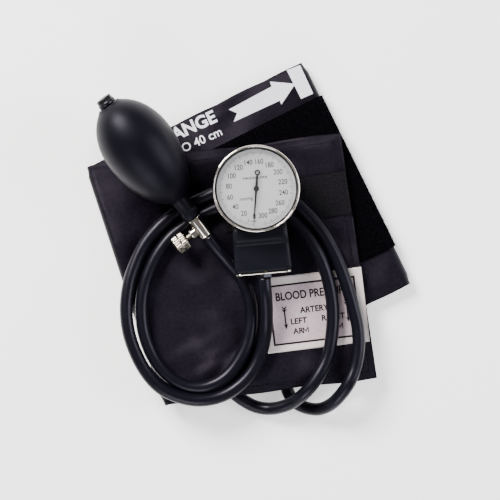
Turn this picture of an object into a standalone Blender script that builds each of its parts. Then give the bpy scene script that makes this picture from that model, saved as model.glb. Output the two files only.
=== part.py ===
"""Upper arm blood pressure monitor: folded cuff, aneroid gauge, rubber bulb and two hoses."""

import math

import bmesh
import bpy
from mathutils import Matrix, Vector
from mathutils.geometry import interpolate_bezier

MM = 0.001
GAP = 0.3 * MM                      # between pieces that touch

# Cuff: one strip of cloth, folded twice, its face side up on the front panel.
CUFF_WIDTH = 145 * MM
FOLD_BOTTOM = Vector((-50.6, -100.6)) * MM      # ends of the left fold, seen from above
FOLD_TOP = Vector((-96.2, 38.6)) * MM
REAR_ANGLE = math.radians(26.2)
REAR_LENGTH = 163 * MM              # along the rear panel's lower edge
UNDER_LENGTH = 138 * MM
FRONT_BOTTOM_END = Vector((74.8, -84.5)) * MM
FRONT_TOP_END = Vector((53.2, 59.1)) * MM
BLADDER_HALF = 0.8 * MM
CLOTH = 0.6 * MM
CLOTH_MIDDLE = BLADDER_HALF + GAP + CLOTH / 2
CLOTH_OUTSIDE = CLOTH_MIDDLE + CLOTH / 2
PILE = 0.9 * MM
HOOK = 0.8 * MM
PILE_MIDDLE = CLOTH_OUTSIDE + GAP + PILE / 2
HOOK_MIDDLE = CLOTH_OUTSIDE + GAP + HOOK / 2
PILE_OUTSIDE = PILE_MIDDLE + PILE / 2
UNDER_Z = PILE_OUTSIDE
REAR_Z = UNDER_Z + 2 * CLOTH_OUTSIDE + 2 * GAP + HOOK
FRONT_Z = REAR_Z + PILE_OUTSIDE + GAP + CLOTH_OUTSIDE
FRONT_TOP_Z = FRONT_Z + CLOTH_OUTSIDE
FOLD_STEPS = 6
PILE_EDGES = (24 * MM / CUFF_WIDTH, 122.5 * MM / CUFF_WIDTH)
HOOK_LENGTH = 55 * MM
FRONT_ANGLE = math.radians(8.6)
WEBBING_END = Vector((58.0, 24.4)) * MM         # middle of its right end
WEBBING_SIZE = (74 * MM, 25 * MM)
WEBBING_THICKNESS = 0.9 * MM
LABEL_CENTRE = Vector((38.1, -44.6)) * MM
LABEL_SIZE = (60 * MM, 44 * MM)
LABEL_ANGLE = FRONT_ANGLE - math.radians(1.7)
LABEL_THICKNESS = 0.3 * MM

# Hoses.
HOSE_RADIUS = 3.8 * MM
GAUGE_HOSE_POINTS = 55
BULB_HOSE_POINTS = 50
NECK_RADIUS = 2.6 * MM
NECK_BEND = 5 * MM
NECK_STRAIGHT = 1 * MM
GAUGE_NECK = Vector((19.6, -81.6, 0)) * MM
GAUGE_NECK_WAY = Vector((0.28, -0.96, 0))
BULB_NECK = Vector((-15.2, -89.4, 0)) * MM
BULB_NECK_WAY = Vector((0.8, -0.6, 0))

# Gauge, in its own frame: back at height 0, twelve o'clock along +Y.
GAUGE_CENTRE = Vector((3.9, 25.6, 24.8)) * MM
GAUGE_TURN = math.radians(5.1)
CASE_RADIUS = 24 * MM
CASE_HEIGHT = 18.2 * MM
CASE_WALL = 2 * MM
NECK_END = 47.7 * MM
NECK_WIDTH = (29 * MM, 33 * MM)
NECK_HEIGHT = 11 * MM
SHOULDER_END = 30 * MM
SHOULDER_HEIGHT = 15 * MM
PORT_Z = 5.2 * MM
PORT_RADIUS = 2.8 * MM
PORT_LENGTH = 50.9 * MM
DIAL_RADIUS = 23.9 * MM
DIAL_Z = CASE_HEIGHT + GAP
LENS_Z = 22 * MM
POINTER_Z = 20.3 * MM
POINTER_ZERO = math.radians(-99)
POINTER_LENGTH = 19.5 * MM

# Movement: a sector gear on its own arbor turns the pinion on the pointer's arbor.
MODULE = 0.25 * MM
PINION_TEETH = 12
SECTOR_TEETH = 96                   # on the full circle
SECTOR_CUT = 14                     # teeth really cut
CENTRE_DISTANCE = 13.6 * MM
SECTOR_SIDE = math.radians(13.3)    # the sector's pivot stands this far left of twelve o'clock
SECTOR_REST = -5.5 * 2 * math.pi / SECTOR_TEETH
TAIL_PIN = 2.05 * MM
ROCKER_X = -2.6 * MM
ROCKER_Z = 9.6 * MM
ROCKER_REST = math.radians(12)
LOWER_PLATE_Z = 11.2 * MM
SECTOR_Z = 14.0 * MM
UPPER_PLATE_Z = 16.2 * MM
PLATE = 0.8 * MM
PLATE_RADIUS = 19.4 * MM
HAIRSPRING_POINTS = 38
POST_CIRCLE = 17.4 * MM
PILLARS = [(12.5 * MM, 9.5 * MM), (-14.0 * MM, 2.0 * MM), (4.0 * MM, -13.5 * MM)]
POST_ANGLES = (math.radians(20), math.radians(152), math.radians(240))

# Bulb, in its own frame: its axis along +Z from the inlet to the release valve.
BULB_TAIL = Vector((-83.9, 77.6, 43.6)) * MM
BULB_HEAD = Vector((-24.35, -1.3, 25.4)) * MM
BULB_RADIUS = 21 * MM
BULB_WALL = 2.0 * MM
BULB_RINGS = 20
BELLY = 34.8 * MM
BELLY_TO_TAIL = 29.8 * MM
BELLY_TO_HEAD = 38.3 * MM
BULB_NECK_RADIUS = 4.9 * MM
BULB_START = 5.3 * MM
BULB_END = 86.6 * MM
VALVE_RADIUS = 4.5 * MM
VALVE_END = (BULB_HEAD - BULB_TAIL).length
RELEASE_AT = 94.3 * MM              # along the axis, where the release screw crosses it
KNOB_RADIUS = 5.4 * MM


def clear_scene():
    for item in list(bpy.data.objects):
        bpy.data.objects.remove(item, do_unlink=True)


def make_collection(name):
    collection = bpy.data.collections.new(name)
    bpy.context.scene.collection.children.link(collection)
    return collection


def make_material(name, colour, roughness, metallic=0.0):
    material = bpy.data.materials.new(name)
    material.use_nodes = True
    shader = material.node_tree.nodes["Principled BSDF"]
    shader.inputs["Base Color"].default_value = (*colour, 1.0)
    shader.inputs["Roughness"].default_value = roughness
    shader.inputs["Metallic"].default_value = metallic
    return material


clear_scene()
PARTS = make_collection("blood_pressure_monitor")
CUTTERS = make_collection("cutters")
NYLON = make_material("woven_nylon", (0.012, 0.010, 0.018), 0.6)
PILE_CLOTH = make_material("loop_pile", (0.004, 0.003, 0.006), 0.95)
HOOK_CLOTH = make_material("hook_tape", (0.010, 0.010, 0.012), 0.7)
WEBBING = make_material("polyester_webbing", (0.010, 0.009, 0.014), 0.8)
SATIN = make_material("printed_satin", (0.62, 0.55, 0.56), 0.5)
BLACK_RUBBER = make_material("black_rubber", (0.012, 0.013, 0.020), 0.45)
LATEX = make_material("bladder_rubber", (0.05, 0.05, 0.055), 0.6)
MOULDING = make_material("moulded_nylon", (0.015, 0.015, 0.018), 0.5)
CHROME = make_material("chromed_brass", (0.62, 0.59, 0.55), 0.12, 1.0)
NICKEL = make_material("nickelled_brass", (0.60, 0.57, 0.52), 0.25, 1.0)
BRASS = make_material("turned_brass", (0.65, 0.45, 0.16), 0.3, 1.0)
BRONZE = make_material("beryllium_bronze", (0.60, 0.36, 0.16), 0.35, 1.0)
STEEL = make_material("bright_steel", (0.50, 0.50, 0.50), 0.3, 1.0)
WHITE_ENAMEL = make_material("white_enamel", (0.83, 0.83, 0.86), 0.5)
BLACK_PAINT = make_material("black_paint", (0.01, 0.01, 0.01), 0.4)
GLASS = make_material("mineral_glass", (0.90, 0.92, 0.92), 0.05)


def add_empty(name, parent=None, location=(0, 0, 0), rotation=(0, 0, 0)):
    empty = bpy.data.objects.new(name, None)
    PARTS.objects.link(empty)
    empty.parent = parent
    empty.location = location
    empty.rotation_euler = rotation
    return empty


def add_piece(name, mesh, parent, material, location=(0, 0, 0), rotation=(0, 0, 0)):
    piece = bpy.data.objects.new(name, mesh)
    PARTS.objects.link(piece)
    piece.parent = parent
    piece.location = location
    piece.rotation_euler = rotation
    if material is not None:
        mesh.materials.clear()
        mesh.materials.append(material)
    return piece


def turned(name, profile, parent, material, segments=32, **place):
    """A turned solid; profile holds (radius, height), its outer side running down."""
    mesh = bpy.data.meshes.new(name)
    points = [(radius, 0, height) for radius, height in profile]
    edges = [(index, index + 1) for index in range(len(points) - 1)]
    if profile[0][0] > 0:
        edges.append((len(points) - 1, 0))
    mesh.from_pydata(points, edges, [])
    piece = add_piece(name, mesh, parent, material, **place)
    screw = piece.modifiers.new("turn", "SCREW")
    screw.steps = segments
    screw.render_steps = segments
    screw.use_merge_vertices = True
    screw.merge_threshold = 0.000001
    screw.use_smooth_shade = True
    return piece


def mm(*pairs):
    return [(first * MM, second * MM) for first, second in pairs]


def disc(name, radius, bottom, top, parent, material, segments=32, centre=(0, 0)):
    """A plain turned disc or pin between two heights."""
    profile = [(0, top), (radius, top), (radius, bottom), (0, bottom)]
    return turned(name, profile, parent, material, segments, location=(*centre, 0))


def rounded_outline(corners, radius):
    """The outline a given distance outside a convex polygon, whose corners run counter-clockwise."""
    points = []
    for before, corner, after in zip(corners[-1:] + corners[:-1], corners, corners[1:] + corners[:1]):
        start = math.atan2(corner[1] - before[1], corner[0] - before[0]) - math.pi / 2
        turn = math.atan2(after[1] - corner[1], after[0] - corner[0]) - math.pi / 2 - start
        turn %= 2 * math.pi
        for step in range(5):
            angle = start + turn * step / 4
            points.append((corner[0] + radius * math.cos(angle), corner[1] + radius * math.sin(angle)))
    return points


def as_mesh(curve_object):
    """The curve's evaluated shape as a mesh, with its caps welded on."""
    bpy.context.view_layer.update()
    depsgraph = bpy.context.evaluated_depsgraph_get()
    mesh = bpy.data.meshes.new_from_object(curve_object.evaluated_get(depsgraph))
    shape = bmesh.new()
    shape.from_mesh(mesh)
    bmesh.ops.remove_doubles(shape, verts=shape.verts, dist=0.000001)
    shape.to_mesh(mesh)
    shape.free()
    bpy.data.objects.remove(curve_object, do_unlink=True)
    return mesh


def flat_mesh(name, outlines, thickness):
    """Closed outlines filled and thickened evenly about height 0; inner outlines are holes."""
    curve = bpy.data.curves.new(name, "CURVE")
    curve.dimensions = "2D"
    curve.fill_mode = "BOTH"
    curve.extrude = thickness / 2
    for outline in outlines:
        spline = curve.splines.new("POLY")
        spline.points.add(len(outline) - 1)
        for point, (x, y) in zip(spline.points, outline):
            point.co = (x, y, 0, 1)
        spline.use_cyclic_u = True
    helper = bpy.data.objects.new(name, curve)
    PARTS.objects.link(helper)
    return as_mesh(helper)


def flat_piece(name, outlines, bottom, top, parent, material, rotation=(0, 0, 0), centre=(0, 0)):
    mesh = flat_mesh(name, outlines, top - bottom)
    mesh.transform(Matrix.Translation((0, 0, (top + bottom) / 2)))
    return add_piece(name, mesh, parent, material, location=(*centre, 0), rotation=rotation)


def circle(radius, count=24, centre=(0, 0)):
    steps = [2 * math.pi * index / count for index in range(count)]
    return [(centre[0] + radius * math.cos(a), centre[1] + radius * math.sin(a)) for a in steps]


def tube(name, points, radius, parent, material, sides=2):
    """A round cord through the points, its ends capped."""
    curve = bpy.data.curves.new(name, "CURVE")
    curve.dimensions = "3D"
    curve.bevel_depth = radius
    curve.bevel_resolution = sides
    curve.use_fill_caps = True
    spline = curve.splines.new("POLY")
    spline.points.add(len(points) - 1)
    for point, place in zip(spline.points, points):
        point.co = (*place, 1)
    cord = bpy.data.objects.new(name, curve)
    PARTS.objects.link(cord)
    cord.parent = parent
    curve.materials.append(material)
    return cord


def smooth_route(corners, count):
    """Evenly spaced points on a smooth curve through the corners."""
    ends = [corners[0], *corners, corners[-1]]
    dense = []
    for before, start, end, after in zip(ends, ends[1:], ends[2:], ends[3:]):
        leave = start + (end - before) / 6
        arrive = end - (after - start) / 6
        dense.extend(interpolate_bezier(start, leave, arrive, end, 24)[:-1])
    dense.append(corners[-1])
    return even_points(dense, count)


def even_points(dense, count):
    lengths = [0.0]
    for start, end in zip(dense, dense[1:]):
        lengths.append(lengths[-1] + (end - start).length)
    result = []
    index = 0
    for step in range(count):
        target = lengths[-1] * step / (count - 1)
        while index < len(dense) - 2 and lengths[index + 1] < target:
            index += 1
        share = (target - lengths[index]) / max(lengths[index + 1] - lengths[index], 1e-12)
        result.append(dense[index].lerp(dense[index + 1], min(share, 1.0)))
    return result


def combine(piece, other, operation):
    """A Boolean of the piece with another object, which becomes a hidden cutter."""
    for collection in list(other.users_collection):
        collection.objects.unlink(other)
    CUTTERS.objects.link(other)
    other.hide_render = True
    other.display_type = "WIRE"
    modifier = piece.modifiers.new(operation.lower(), "BOOLEAN")
    modifier.operation = operation
    modifier.object = other
    modifier.solver = "EXACT"
    return piece


def cut(piece, other):
    return combine(piece, other, "DIFFERENCE")


def join(piece, other):
    return combine(piece, other, "UNION")


# ---------------------------------------------------------------- cuff


def flat(vector, height):
    return Vector((vector.x, vector.y, height))


def cuff_ribs(offset, sections, front_to=1.0, rear_to=1.0):
    """Cross lines of the folded strip, each a pair of ends, lower edge first.

    The offset is measured from the strip's middle towards its face side.
    """
    along = Vector((math.cos(REAR_ANGLE), math.sin(REAR_ANGLE)))
    across = Vector((-along.y, along.x)) * CUFF_WIDTH
    right_radius = (REAR_Z - UNDER_Z) / 2
    left_radius = (FRONT_Z - REAR_Z) / 2
    right_end = FOLD_BOTTOM + along * (REAR_LENGTH - right_radius - CLOTH_OUTSIDE)
    fold = (FOLD_TOP - FOLD_BOTTOM).normalized()
    inward = Vector((fold.y, -fold.x))
    left_bottom = FOLD_BOTTOM + inward * (left_radius + CLOTH_OUTSIDE)
    left_top = FOLD_TOP + inward * (left_radius + CLOTH_OUTSIDE)
    ribs = []
    if "under" in sections:
        start = right_end - along * UNDER_LENGTH
        ribs.append((flat(start, UNDER_Z + offset), flat(start + across, UNDER_Z + offset)))
    if "right" in sections:
        reach = right_radius - offset
        middle = (REAR_Z + UNDER_Z) / 2
        for step in range(FOLD_STEPS + 1):
            turn = math.pi * step / FOLD_STEPS
            place = right_end + along * reach * math.sin(turn)
            height = middle - reach * math.cos(turn)
            ribs.append((flat(place, height), flat(place + across, height)))
    if rear_to < 1:
        lower = right_end.lerp(left_bottom, rear_to)
        upper = (right_end + across).lerp(left_top, rear_to)
        ribs.append((flat(lower, REAR_Z - offset), flat(upper, REAR_Z - offset)))
    if "left" in sections:
        reach = left_radius + offset
        middle = (FRONT_Z + REAR_Z) / 2
        for step in range(FOLD_STEPS + 1):
            turn = math.pi * step / FOLD_STEPS
            swing = inward * reach * math.sin(turn)
            height = middle - reach * math.cos(turn)
            ribs.append((flat(left_bottom - swing, height), flat(left_top - swing, height)))
    if "front" in sections:
        lower = left_bottom.lerp(FRONT_BOTTOM_END, front_to)
        upper = left_top.lerp(FRONT_TOP_END, front_to)
        ribs.append((flat(lower, FRONT_Z + offset), flat(upper, FRONT_Z + offset)))
    return ribs


def strip(name, ribs, thickness, material, low=0.0, high=1.0):
    """A band of cloth over the ribs, between two fractions of their length."""
    shape = bmesh.new()
    rows = []
    for bottom, top in ribs:
        rows.append((shape.verts.new(bottom.lerp(top, low)), shape.verts.new(bottom.lerp(top, high))))
    for first, second in zip(rows, rows[1:]):
        shape.faces.new((first[0], first[1], second[1], second[0]))
    mesh = bpy.data.meshes.new(name)
    shape.to_mesh(mesh)
    shape.free()
    piece = add_piece(name, mesh, ROOT, material)
    wall = piece.modifiers.new("cloth", "SOLIDIFY")
    wall.thickness = thickness
    wall.offset = 0
    return piece


def neck_route(start, way):
    """From inside the bladder straight down, then level along the way."""
    top = FRONT_Z - BLADDER_HALF / 2
    points = [start + Vector((0, 0, top))]
    for step in range(7):
        turn = math.pi / 2 * step / 6
        drop = HOSE_RADIUS + NECK_BEND * (1 - math.sin(turn))
        points.append(start + way * NECK_BEND * (1 - math.cos(turn)) + Vector((0, 0, drop)))
    points.append(points[-1] + way * NECK_STRAIGHT)
    return points


def neck_end(start, way):
    """Where a hose begins: its first two points, in line with the bladder's neck."""
    face = start + way * (NECK_BEND + NECK_STRAIGHT + GAP) + Vector((0, 0, HOSE_RADIUS))
    return [face, face + way * 2 * MM]


def make_cuff():
    everything = ("under", "right", "left", "front")
    strip("face_cloth", cuff_ribs(CLOTH_MIDDLE, everything), CLOTH, NYLON)
    backing = strip("backing_cloth", cuff_ribs(-CLOTH_MIDDLE, everything), CLOTH, NYLON)
    ribs = cuff_ribs(0, ("left", "front"), rear_to=0.42, front_to=0.95)
    bladder = strip("bladder", ribs, 2 * BLADDER_HALF, LATEX, 0.03, 0.93)
    for start, way in ((GAUGE_NECK, GAUGE_NECK_WAY), (BULB_NECK, BULB_NECK_WAY)):
        neck = tube("bladder_neck", neck_route(start, way), NECK_RADIUS, ROOT, LATEX)
        join(bladder, add_piece("bladder_neck", as_mesh(neck), ROOT, LATEX))
        hole = disc("neck_slot", NECK_RADIUS + 1.0 * MM, FRONT_Z - 4 * MM, FRONT_Z, ROOT, NYLON, 24,
                    (start.x, start.y))
        cut(backing, hole)
    pile_ribs = cuff_ribs(-PILE_MIDDLE, ("under", "right"), rear_to=0.82)
    strip("pile_tape", pile_ribs, PILE, PILE_CLOTH, *PILE_EDGES)
    hook_ribs = cuff_ribs(HOOK_MIDDLE, ("under",))
    reach = Vector((math.cos(REAR_ANGLE), math.sin(REAR_ANGLE), 0)) * HOOK_LENGTH
    hook_ribs.append(tuple(end + reach for end in hook_ribs[0]))
    strip("hook_tape", hook_ribs, HOOK, HOOK_CLOTH, 0.14, 0.86)
    make_webbing()
    make_label()


def plate_on_front(name, centre, size, thickness, angle, material):
    """A flat rectangle of cloth lying on the front panel."""
    mesh = bpy.data.meshes.new(name)
    shape = bmesh.new()
    bmesh.ops.create_cube(shape, size=1)
    bmesh.ops.scale(shape, verts=shape.verts, vec=(size[0], size[1], thickness))
    shape.to_mesh(mesh)
    shape.free()
    height = FRONT_TOP_Z + GAP + thickness / 2
    return add_piece(name, mesh, ROOT, material, location=flat(centre, height), rotation=(0, 0, angle))


def make_webbing():
    along = Vector((math.cos(FRONT_ANGLE), math.sin(FRONT_ANGLE)))
    centre = WEBBING_END - along * WEBBING_SIZE[0] / 2
    plate_on_front("holder_webbing", centre, WEBBING_SIZE, WEBBING_THICKNESS, FRONT_ANGLE, WEBBING)


def make_label():
    plate_on_front("cuff_label", LABEL_CENTRE, LABEL_SIZE, LABEL_THICKNESS, LABEL_ANGLE, SATIN)


# ---------------------------------------------------------------- gauge


def make_case():
    wall = CASE_RADIUS - CASE_WALL
    profile = [(0, CASE_WALL), (wall - 1 * MM, CASE_WALL), (wall, CASE_WALL + 1 * MM),
               (wall, CASE_HEIGHT), (CASE_RADIUS, CASE_HEIGHT), (CASE_RADIUS, 2.5 * MM),
               (CASE_RADIUS - 2 * MM, 0), (0, 0)]
    case = turned("gauge_case", profile, GAUGE, MOULDING, 36)
    middle = CASE_RADIUS - CASE_WALL / 2
    for end, height, name in ((NECK_END, NECK_HEIGHT, "neck"), (SHOULDER_END, SHOULDER_HEIGHT, "shoulder")):
        join(case, neck_block(name, middle, end, height))
    for angle in POST_ANGLES:
        place = (POST_CIRCLE * math.cos(angle), POST_CIRCLE * math.sin(angle))
        post = [(0.95 * MM, LOWER_PLATE_Z - GAP), (2.0 * MM, LOWER_PLATE_Z - GAP),
                (2.0 * MM, CASE_WALL / 2), (0.95 * MM, CASE_WALL / 2)]
        join(case, turned("post", post, GAUGE, MOULDING, 12, location=(*place, 0)))
    bore = disc("neck_bore", PORT_RADIUS + GAP, 18 * MM, NECK_END + 2 * MM, GAUGE, MOULDING)
    bore.location = (0, 0, PORT_Z)
    bore.rotation_euler = (math.pi / 2, 0, 0)
    cut(case, bore)


def neck_block(name, middle, end, height):
    """The moulded neck below the case: it follows the case's wall and flares outwards."""
    half_start = NECK_WIDTH[0] / 2
    share = (end - middle) / (NECK_END - middle)
    half_end = half_start + (NECK_WIDTH[1] / 2 - half_start) * share
    reach = math.asin(half_start / middle)
    top = [(middle * math.sin(reach * k / 6), -middle * math.cos(reach * k / 6)) for k in range(6, -7, -2)]
    corner = 2 * MM
    bottom = [(-half_end, -end + corner), (-half_end + corner, -end),
              (half_end - corner, -end), (half_end, -end + corner)]
    block = flat_piece(name, [top + bottom], 0, height, GAUGE, MOULDING)
    bevel = block.modifiers.new("edge", "BEVEL")
    bevel.width = 1.2 * MM
    bevel.segments = 2
    bevel.limit_method = "ANGLE"
    bevel.angle_limit = math.radians(60)
    return block


def make_clip():
    """Chromed spring clip: a leg under the case, bent up over the end of its neck."""
    thickness = 0.8 * MM
    face = NECK_END + GAP + thickness / 2
    under = -GAP - thickness / 2
    bend = [(face - 1.2 * MM * (1 - math.cos(math.pi / 2 * k / 4)),
             under + 1.2 * MM * (1 - math.sin(math.pi / 2 * k / 4))) for k in range(5)]
    run = [(face, 8.6 * MM), *bend, (20 * MM, under), (17.9 * MM, under - 0.6 * MM),
           (16.5 * MM, under - 2.2 * MM), (16.1 * MM, under - 4.2 * MM), (16.9 * MM, under - 5.6 * MM)]
    shape = bmesh.new()
    rows = []
    for distance, height in run:
        half = 15.5 * MM if height >= under - 0.1 * MM else 7 * MM
        rows.append((shape.verts.new((-half, -distance, height)), shape.verts.new((half, -distance, height))))
    for first, second in zip(rows, rows[1:]):
        shape.faces.new((first[0], second[0], second[1], first[1]))
    mesh = bpy.data.meshes.new("spring_clip")
    shape.to_mesh(mesh)
    shape.free()
    clip = add_piece("spring_clip", mesh, GAUGE, CHROME)
    wall = clip.modifiers.new("sheet", "SOLIDIFY")
    wall.thickness = thickness
    wall.offset = 0
    wall.use_even_offset = True
    hole = disc("clip_hole", PORT_RADIUS + GAP, NECK_END - 1 * MM, NECK_END + 3 * MM, GAUGE, CHROME)
    hole.location = (0, 0, PORT_Z)
    hole.rotation_euler = (math.pi / 2, 0, 0)
    cut(clip, hole)


def make_port():
    bore = 1.1 * MM
    inner_end = 20 * MM
    profile = [(bore, PORT_LENGTH), (PORT_RADIUS, PORT_LENGTH), (PORT_RADIUS, inner_end), (bore, inner_end)]
    turned("gauge_port", profile, PORT, BRASS, 24)
    nut = flat_piece("port_nut", [circle(5.0 * MM, 6), circle(PORT_RADIUS + GAP, 24)],
                     NECK_END + 1.4 * MM, PORT_LENGTH, PORT, NICKEL)
    nut.rotation_euler = (0, 0, math.radians(30))
    route = [Vector((0, 0, inner_end - GAP)), Vector((0, 0, 17 * MM)), Vector((0, 0, 14.6 * MM))]
    tube("feed_tube", route, 0.9 * MM, PORT, BRASS)


def make_capsule():
    """Corrugated diaphragm capsule, its faces two waved discs soldered at the rim."""
    middle = 4.6 * MM
    radius = 14 * MM
    rings = 12
    upper = []
    for step in range(1, rings):
        reach = 2.6 * MM + (radius - 3.2 * MM) * step / rings
        wave = 0.32 * MM * math.cos(2 * math.pi * 4 * step / rings)
        upper.append((reach, 1.5 * MM + wave))
    half = [(0, 2.3 * MM), (2.4 * MM, 2.3 * MM), (2.6 * MM, 1.7 * MM), *upper, (radius, 0.35 * MM)]
    profile = [(r, middle + h) for r, h in half] + [(r, middle - h) for r, h in reversed(half)]
    turned("capsule", profile, GAUGE, BRONZE, 24)
    disc("capsule_stud", 0.9 * MM, 7.2 * MM, 8.3 * MM, GAUGE, STEEL, 16)


def pivot_place():
    return (-CENTRE_DISTANCE * math.sin(SECTOR_SIDE), CENTRE_DISTANCE * math.cos(SECTOR_SIDE))


def make_rocker():
    """The rocking shaft lies across the capsule: a level arm feels it, a standing arm drives."""
    shaft = disc("rocking_shaft", 0.7 * MM, -18 * MM, 2.5 * MM, ROCKER, STEEL, 16)
    shaft.rotation_euler = (math.pi / 2, 0, 0)
    lower = arm_mesh((-ROCKER_X + 1.1 * MM, 2.0 * MM, 0.8 * MM))
    lower.transform(Matrix.Translation(((-ROCKER_X + 1.1 * MM) / 2 - 0.2 * MM, 0, 0)))
    lower.transform(Matrix.Rotation(ROCKER_REST, 4, "Y"))
    upper = arm_mesh((0.7 * MM, 1.2 * MM, 4.2 * MM))
    upper.transform(Matrix.Translation((0, 15.3 * MM, 2.0 * MM)))
    upper.transform(Matrix.Rotation(ROCKER_REST, 4, "Y"))
    join(shaft, add_piece("feeler_arm", lower, ROCKER, STEEL))
    join(shaft, add_piece("driving_arm", upper, ROCKER, STEEL))


def arm_mesh(size):
    mesh = bpy.data.meshes.new("arm")
    shape = bmesh.new()
    bmesh.ops.create_cube(shape, size=1)
    bmesh.ops.scale(shape, verts=shape.verts, vec=size)
    shape.to_mesh(mesh)
    shape.free()
    return mesh


def make_plates():
    x, y = pivot_place()
    holes = [circle(1.0 * MM, 16), circle(1.0 * MM, 16, (x, y))]
    screws = [circle(0.95 * MM, 12, (POST_CIRCLE * math.cos(a), POST_CIRCLE * math.sin(a)))
              for a in POST_ANGLES]
    slot = [(-5.4, 14.4), (-0.6, 14.4), (-0.6, 16.4), (-5.4, 16.4)]
    lower = flat_piece("lower_plate", [circle(PLATE_RADIUS, 32), *holes, *screws, mm(*slot)],
                       LOWER_PLATE_Z, LOWER_PLATE_Z + PLATE, GAUGE, BRASS)
    for end in (-3.6 * MM, 17.2 * MM):
        join(lower, rocker_lug(end))
    holes.extend(circle(0.95 * MM, 12, place) for place in PILLARS)
    bridge = rounded_outline([PILLARS[0], (x, y), PILLARS[1], PILLARS[2]], 2.9 * MM)
    window = rounded_outline(mm((3.6, 1.6), (8.6, 6.2), (2.4, 7.8)), 1.2 * MM)
    flat_piece("upper_plate", [bridge, *holes, window],
               UPPER_PLATE_Z, UPPER_PLATE_Z + PLATE, GAUGE, BRASS)
    for index, place in enumerate(PILLARS, 1):
        profile = [(0, UPPER_PLATE_Z + PLATE + 0.5 * MM), (0.6 * MM, UPPER_PLATE_Z + PLATE + 0.5 * MM),
                   (0.6 * MM, UPPER_PLATE_Z - GAP), (1.4 * MM, UPPER_PLATE_Z - GAP),
                   (1.4 * MM, LOWER_PLATE_Z + PLATE + GAP), (0, LOWER_PLATE_Z + PLATE + GAP)]
        turned(f"plate_pillar_{index}", profile, GAUGE, BRASS, 12, location=(*place, 0))
    for index, angle in enumerate(POST_ANGLES, 1):
        top = LOWER_PLATE_Z + PLATE + GAP
        profile = [(0, top + 0.9 * MM), (1.3 * MM, top + 0.9 * MM), (1.6 * MM, top + 0.6 * MM),
                   (1.6 * MM, top), (0.6 * MM, top), (0.6 * MM, top - 5 * MM), (0, top - 5 * MM)]
        place = (POST_CIRCLE * math.cos(angle), POST_CIRCLE * math.sin(angle), 0)
        turned(f"movement_screw_{index}", profile, GAUGE, STEEL, 12, location=place)


def rocker_lug(end):
    """A lug under the lower plate with the hole that one end of the rocking shaft turns in."""
    outline = [circle(1.0 * MM, 16, (0, -ROCKER_Z)), mm((-1.7, -8.1), (1.7, -8.1), (1.7, -11.6), (-1.7, -11.6))]
    lug = flat_piece("rocker_lug", outline, 0, 0.8 * MM, GAUGE, BRASS)
    lug.location = (ROCKER_X, end, 0)
    lug.rotation_euler = (-math.pi / 2, 0, 0)
    return lug


def toothed_arc(teeth, full_circle, first_angle):
    """Points of straight-sided teeth, evenly spaced from the first tooth's middle."""
    pitch_radius = MODULE * full_circle / 2
    step = 2 * math.pi / full_circle
    tip = pitch_radius + 0.8 * MODULE
    root = pitch_radius - 1.2 * MODULE
    points = []
    for tooth in range(teeth):
        angle = first_angle + tooth * step
        for radius, half in ((root, 0.34), (tip, 0.11), (tip, -0.11), (root, -0.34)):
            turn = angle - half * step
            points.append((radius * math.cos(turn), radius * math.sin(turn)))
    return points


def make_sector():
    """Sector gear: a toothed rim, a window, a hub and a tail with the driven pin."""
    x, y = pivot_place()
    step = 2 * math.pi / SECTOR_TEETH
    towards_pinion = math.atan2(-y, -x)
    middle = towards_pinion + SECTOR_REST
    first = middle - (SECTOR_CUT // 2 - 0.5) * step - 0.5 * step
    rim = toothed_arc(SECTOR_CUT + 1, SECTOR_TEETH, first)
    hub = 1.9 * MM
    back = [(hub * math.cos(middle + a), hub * math.sin(middle + a))
            for a in (math.radians(90), math.radians(130))]
    tail = [(3.0 * MM * math.cos(middle + a), 3.0 * MM * math.sin(middle + a))
            for a in (math.radians(166), math.radians(180), math.radians(194))]
    front = [(hub * math.cos(middle - a), hub * math.sin(middle - a))
             for a in (math.radians(130), math.radians(90))]
    window = [(radius * math.cos(middle + a), radius * math.sin(middle + a))
              for radius, a in ((3.4 * MM, -0.1), (10 * MM, -0.32), (10 * MM, 0), (10 * MM, 0.32),
                                (3.4 * MM, 0.1))]
    outlines = [rim + back + tail + front, window, circle(0.9 * MM, 16)]
    sector = flat_piece("sector_gear", outlines, SECTOR_Z, SECTOR_Z + 0.8 * MM, SECTOR, BRASS)
    pin_place = (-TAIL_PIN * math.cos(middle), -TAIL_PIN * math.sin(middle))
    join(sector, disc("tail_pin", 0.35 * MM, 12.3 * MM, SECTOR_Z + 0.4 * MM, SECTOR, BRASS, 12, pin_place))
    disc("sector_arbor", 0.6 * MM, 11.0 * MM, 17.3 * MM, SECTOR, STEEL, 16)


def make_pinion():
    x, y = pivot_place()
    outline = toothed_arc(PINION_TEETH, PINION_TEETH, math.atan2(y, x))
    pinion = flat_piece("pointer_pinion", [outline], 13.2 * MM, 15.2 * MM, POINTER, STEEL)
    join(pinion, disc("pinion_arbor", 0.6 * MM, 11.0 * MM, POINTER_Z - GAP, POINTER, STEEL, 16))


def make_hairspring():
    points = []
    turns = 3.5
    for step in range(HAIRSPRING_POINTS):
        share = step / (HAIRSPRING_POINTS - 1)
        angle = 2 * math.pi * turns * share
        radius = (1.2 + 4.2 * share) * MM
        points.append(Vector((radius * math.cos(angle), radius * math.sin(angle), 15.7 * MM)))
    tube("hairspring", points, 0.12 * MM, GAUGE, BRONZE)


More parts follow.
